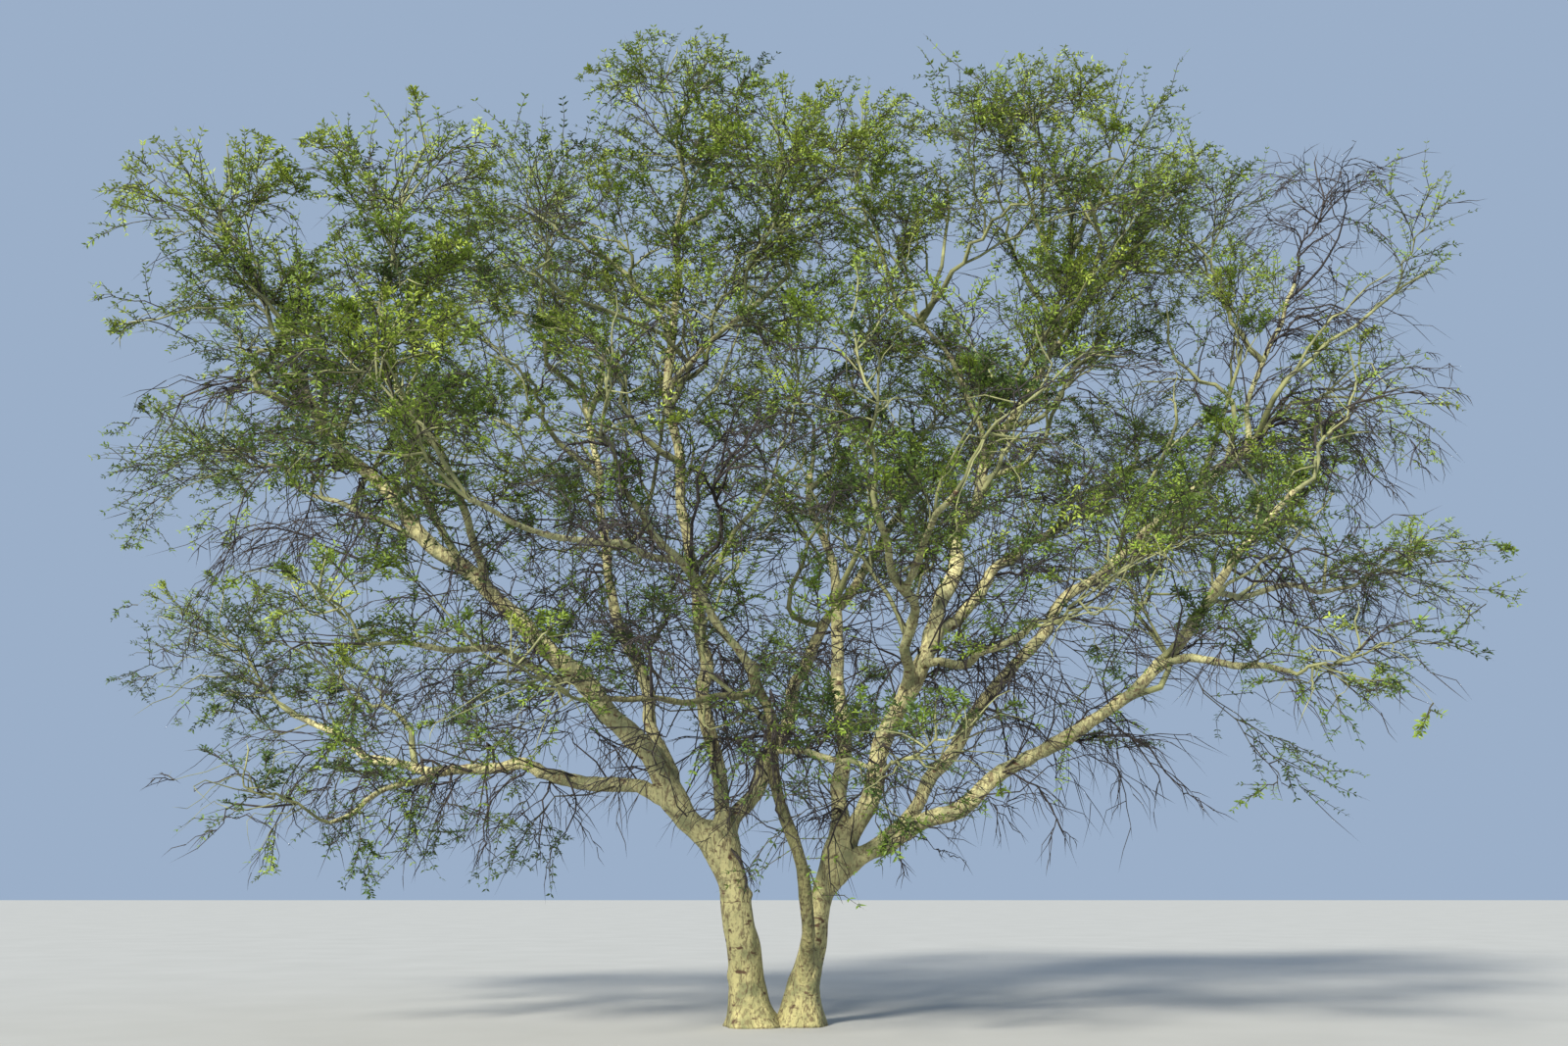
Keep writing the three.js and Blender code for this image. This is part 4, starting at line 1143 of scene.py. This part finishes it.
def bark_material(name, light, green, shaded=False):
    """Powdery bark: pale patches over green, streaks, grey-brown flakes, cracks, scars and painted shade
    low down.
    """
    material, tree, shader = plain_material(name, light, BARK_ROUGHNESS)
    patches = noise_node(tree, *BARK_PATCH_NOISE)
    streaks = noise_node(tree, *STREAK_NOISE)
    flakes = noise_node(tree, *FLAKE_NOISE)
    cracks = noise_node(tree, *CRACK_NOISE)
    scars = noise_node(tree, *SCAR_NOISE)
    toned = ramp_node(tree, patches, BARK_PATCH_STOPS, (green, light))
    toned = mix_node(tree, mask_node(tree, streaks, STREAK_STOPS), toned, green)
    toned = mix_node(tree, mask_node(tree, flakes, FLAKE_STOPS), toned, BARK_FLAKE)
    toned = mix_node(tree, mask_node(tree, cracks, CRACK_STOPS), toned, BARK_SCAR)
    toned = mix_node(tree, mask_node(tree, scars, SCAR_STOPS), toned, BARK_SCAR)
    # Painted shade: every bark is darker towards the ground
    toned = tinted_by_height(tree, toned, FOOT_SHADE_HEIGHTS, FOOT_SHADE_TINT)
    if shaded:
        toned = tinted_by_height(tree, toned, SHADED_HEIGHTS, SHADED_TINT)
    tree.links.new(toned, shader.inputs["Base Color"])
    bump_node(tree, shader, flakes, *BARK_BUMP)
    return material


def tinted_by_height(tree, colour, heights, tint):
    """A colour times a tint that comes in from the first height to the second."""
    place = tree.nodes.new("ShaderNodeTexCoord")
    split = tree.nodes.new("ShaderNodeSeparateXYZ")
    height = tree.nodes.new("ShaderNodeMapRange")
    height.inputs["From Min"].default_value = heights[0]
    height.inputs["From Max"].default_value = heights[1]
    tree.links.new(place.outputs["Object"], split.inputs["Vector"])
    tree.links.new(split.outputs["Z"], height.inputs["Value"])
    return mix_node(tree, height.outputs["Result"], colour, tint, "MULTIPLY")


def toned_material(name, base, roughness, noise_kind, stops, tones):
    """A material that goes softly from one tone to another."""
    material, tree, shader = plain_material(name, base, roughness)
    toned = ramp_node(tree, noise_node(tree, *noise_kind), stops, tones)
    tree.links.new(toned, shader.inputs["Base Color"])
    return material, shader


def twig_material(name, tones, roughness):
    """Twigs in two tones that change in short lengths."""
    material, _ = toned_material(name, tones[0], roughness, TWIG_NOISE, SOFT_STOPS, tones)
    return material


def leaf_material(name, colour):
    """A leaf tint with a soft change from place to place and a faint waxy sheen."""
    tones = [tuple(share * value for value in colour) for share in LEAF_TONES]
    material, shader = toned_material(name, colour, LEAF_ROUGHNESS, LEAF_NOISE, SOFT_STOPS, tones)
    shader.inputs["Specular IOR Level"].default_value = LEAF_SPECULAR
    return material


def make_bark(limbs):
    """One relief mesh in place of each trunk and bough."""
    old = bark_material("bark", BARK_LIGHT, BARK_GREEN)
    young = bark_material("young_bark", BOUGH_LIGHT, BOUGH_GREEN)
    shaded = bark_material("shaded_bark", BARK_LIGHT, BARK_GREEN, True)
    for index, limb in enumerate(limbs.values()):
        material, slot = (old, "bark") if limb["thick"] else (young, "young_bark")
        if limb["name"] in SHADED_LIMBS:
            material = shaded
        points, faces = bark_tube(limb, limbs, index)
        mesh_piece("bark_" + limb["name"], points, faces, material, [limb["name"]], True)


def grow_crown(limbs, masses, rng):
    """Every kind of twig in the crown. The stout ones come with the number of sides of their meshes."""
    stem_twigs = stems(masses, rng)
    main_twigs = mains(masses, rng)
    boughs = joined(side_boughs(limbs, rng), limb_growth(limbs, BOUGHS_RULE, masses, rng))
    branches = limb_growth(limbs, BRANCHES_RULE, masses, rng)
    branches = joined(branches, finer(boughs, FORKS_RULE, masses, rng), hanging_branches(limbs, rng))
    inner = limb_growth(limbs, INNER_RULE, masses, rng)
    shoots = deal_tints(limb_growth(limbs, SHOOTS_RULE, masses, rng), masses, rng)
    carriers = (stem_twigs, main_twigs, branches)
    side_twigs = joined(*[finer(twigs, SIDES_RULE, masses, rng) for twigs in carriers])
    side_twigs = joined(side_twigs, finer(inner, INNER_SIDES_RULE, masses, rng))
    side_twigs = chosen(side_twigs, thinned(masses, side_twigs["mass"], rng))
    side_twigs = deal_tints(side_twigs, masses, rng)
    twiglets = joined(*[finer(twigs, TWIGLETS_RULE, masses, rng) for twigs in (side_twigs, shoots)])
    stout = [
        (stem_twigs, STEM_SIDES),
        (boughs, BOUGH_SIDES),
        (main_twigs, BRANCH_SIDES),
        (branches, BRANCH_SIDES),
    ]
    return stout, inner, side_twigs, shoots, twiglets


def make_twigs(stout, fine, finest, leafy, bare):
    """Twigs in joined pieces: live ones in place of leafy masses, dead ones of bare masses."""
    stout_wood = twig_material("stout_twigs", STOUT_TONES, STOUT_ROUGHNESS)
    fine_wood = twig_material("fine_twigs", FINE_TONES, FINE_ROUGHNESS)
    dead_wood = twig_material("dead_twigs", DEAD_TONES, DEAD_ROUGHNESS)
    for name, live, parts, wood in (
        ("twigs_stout", True, stout, stout_wood),
        ("twigs_side", True, fine, fine_wood),
        ("twigs_fine", True, finest, fine_wood),
        ("twigs_dead", False, stout + fine, dead_wood),
        ("twigs_dead_fine", False, finest, dead_wood),
    ):
        slot, nodes = ("young_bark", leafy) if live else ("dead_twigs", bare)
        meshes = [twig_mesh(chosen(twigs, twigs["live"] == live), sides) for twigs, sides in parts]
        points, faces = together(meshes)
        mesh_piece(name, points, faces, wood, nodes, True)


def make_leaves(twiglets, side_twigs, leafy, rng):
    """Leaves in one joined piece for each tint, in place of the leafy masses."""
    groups = [leaves_on(twiglets, *TWIGLET_LEAVES, rng), leaves_on(side_twigs, *SIDE_TWIG_LEAVES, rng)]
    roots, headings, flats, sizes, tints = [np.concatenate(parts) for parts in zip(*groups)]
    for tint, (name, colour) in enumerate(LEAF_TINTS):
        keep = tints == tint
        points, faces = leaf_mesh(roots[keep], headings[keep], flats[keep], sizes[keep])
        material = leaf_material("leaf_" + name, colour)
        mesh_piece("leaves_" + name, points, faces, material, leafy, False)


def make_foliage(limbs, masses):
    """Twigs and leaves in joined pieces in place of every mass."""
    rng = np.random.default_rng(SEED)
    leafy = [mass["name"] for mass in masses if not mass["dead"]]
    bare = [mass["name"] for mass in masses if mass["dead"]]
    stout, inner, side_twigs, shoots, twiglets = grow_crown(limbs, masses, rng)
    fine = [(inner, INNER_SIDES), (side_twigs, TWIG_SIDES), (shoots, TWIG_SIDES)]
    make_twigs(stout, fine, [(twiglets, TWIG_SIDES)], leafy, bare)
    make_leaves(twiglets, side_twigs, leafy, rng)


def make_camera():
    """A camera where the photo was taken from, with the photo's angle and lens."""
    camera = linked("camera", bpy.data.cameras.new("camera"))
    camera.location = CAMERA_PLACE
    camera.rotation_euler = (math.radians(90 + CAMERA_RISE), 0, 0)
    camera.data.lens = CAMERA_LENS
    camera.data.clip_end = FURTHEST_SEEN
    bpy.context.scene.camera = camera


def make_floor():
    """A plain pale floor at ground level."""
    material, _ = toned_material(
        "floor", FLOOR_TONES[0], FLOOR_ROUGHNESS, FLOOR_NOISE, FLOOR_STOPS, FLOOR_TONES
    )
    mesh = bpy.data.meshes.new("floor")
    corners = [(x * FLOOR_HALF, y * FLOOR_HALF, 0) for x, y in ((-1, -1), (1, -1), (1, 1), (-1, 1))]
    mesh.from_pydata(corners, [], [(0, 1, 2, 3)])
    mesh.materials.append(material)
    floor = linked("floor", mesh)


def make_light():
    """An even sky and one soft sun."""
    world = bpy.data.worlds.new("sky")
    world.use_nodes = True
    sky = world.node_tree.nodes["Background"]
    sky.inputs["Color"].default_value = (*SKY_COLOUR, 1)
    sky.inputs["Strength"].default_value = SKY_STRENGTH
    light = bpy.data.lights.new("sun", "SUN")
    light.energy = SUN_ENERGY
    light.color = SUN_COLOUR
    light.angle = math.radians(SUN_SPREAD)
    sun = linked("sun", light)
    sun.rotation_euler = (math.radians(90 - SUN_HEIGHT), 0, math.radians(SUN_TURN))
    bpy.context.scene.world = world
    bpy.context.scene.view_settings.view_transform = "Standard"


def make_tree():
    limbs = {}
    for row in LIMBS:
        limbs[row[0]] = grow_limb(row, limbs)
    masses = [grow_mass(row, index, limbs) for index, row in enumerate(MASSES)]
    make_bark(limbs)
    make_foliage(limbs, masses)


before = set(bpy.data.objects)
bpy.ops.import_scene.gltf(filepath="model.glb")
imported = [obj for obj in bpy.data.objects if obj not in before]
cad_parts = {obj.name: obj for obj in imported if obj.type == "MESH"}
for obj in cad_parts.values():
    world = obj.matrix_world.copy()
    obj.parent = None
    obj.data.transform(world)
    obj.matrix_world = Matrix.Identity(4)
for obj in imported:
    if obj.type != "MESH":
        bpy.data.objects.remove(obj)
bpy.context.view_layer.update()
make_camera()
make_floor()
make_light()
make_tree()
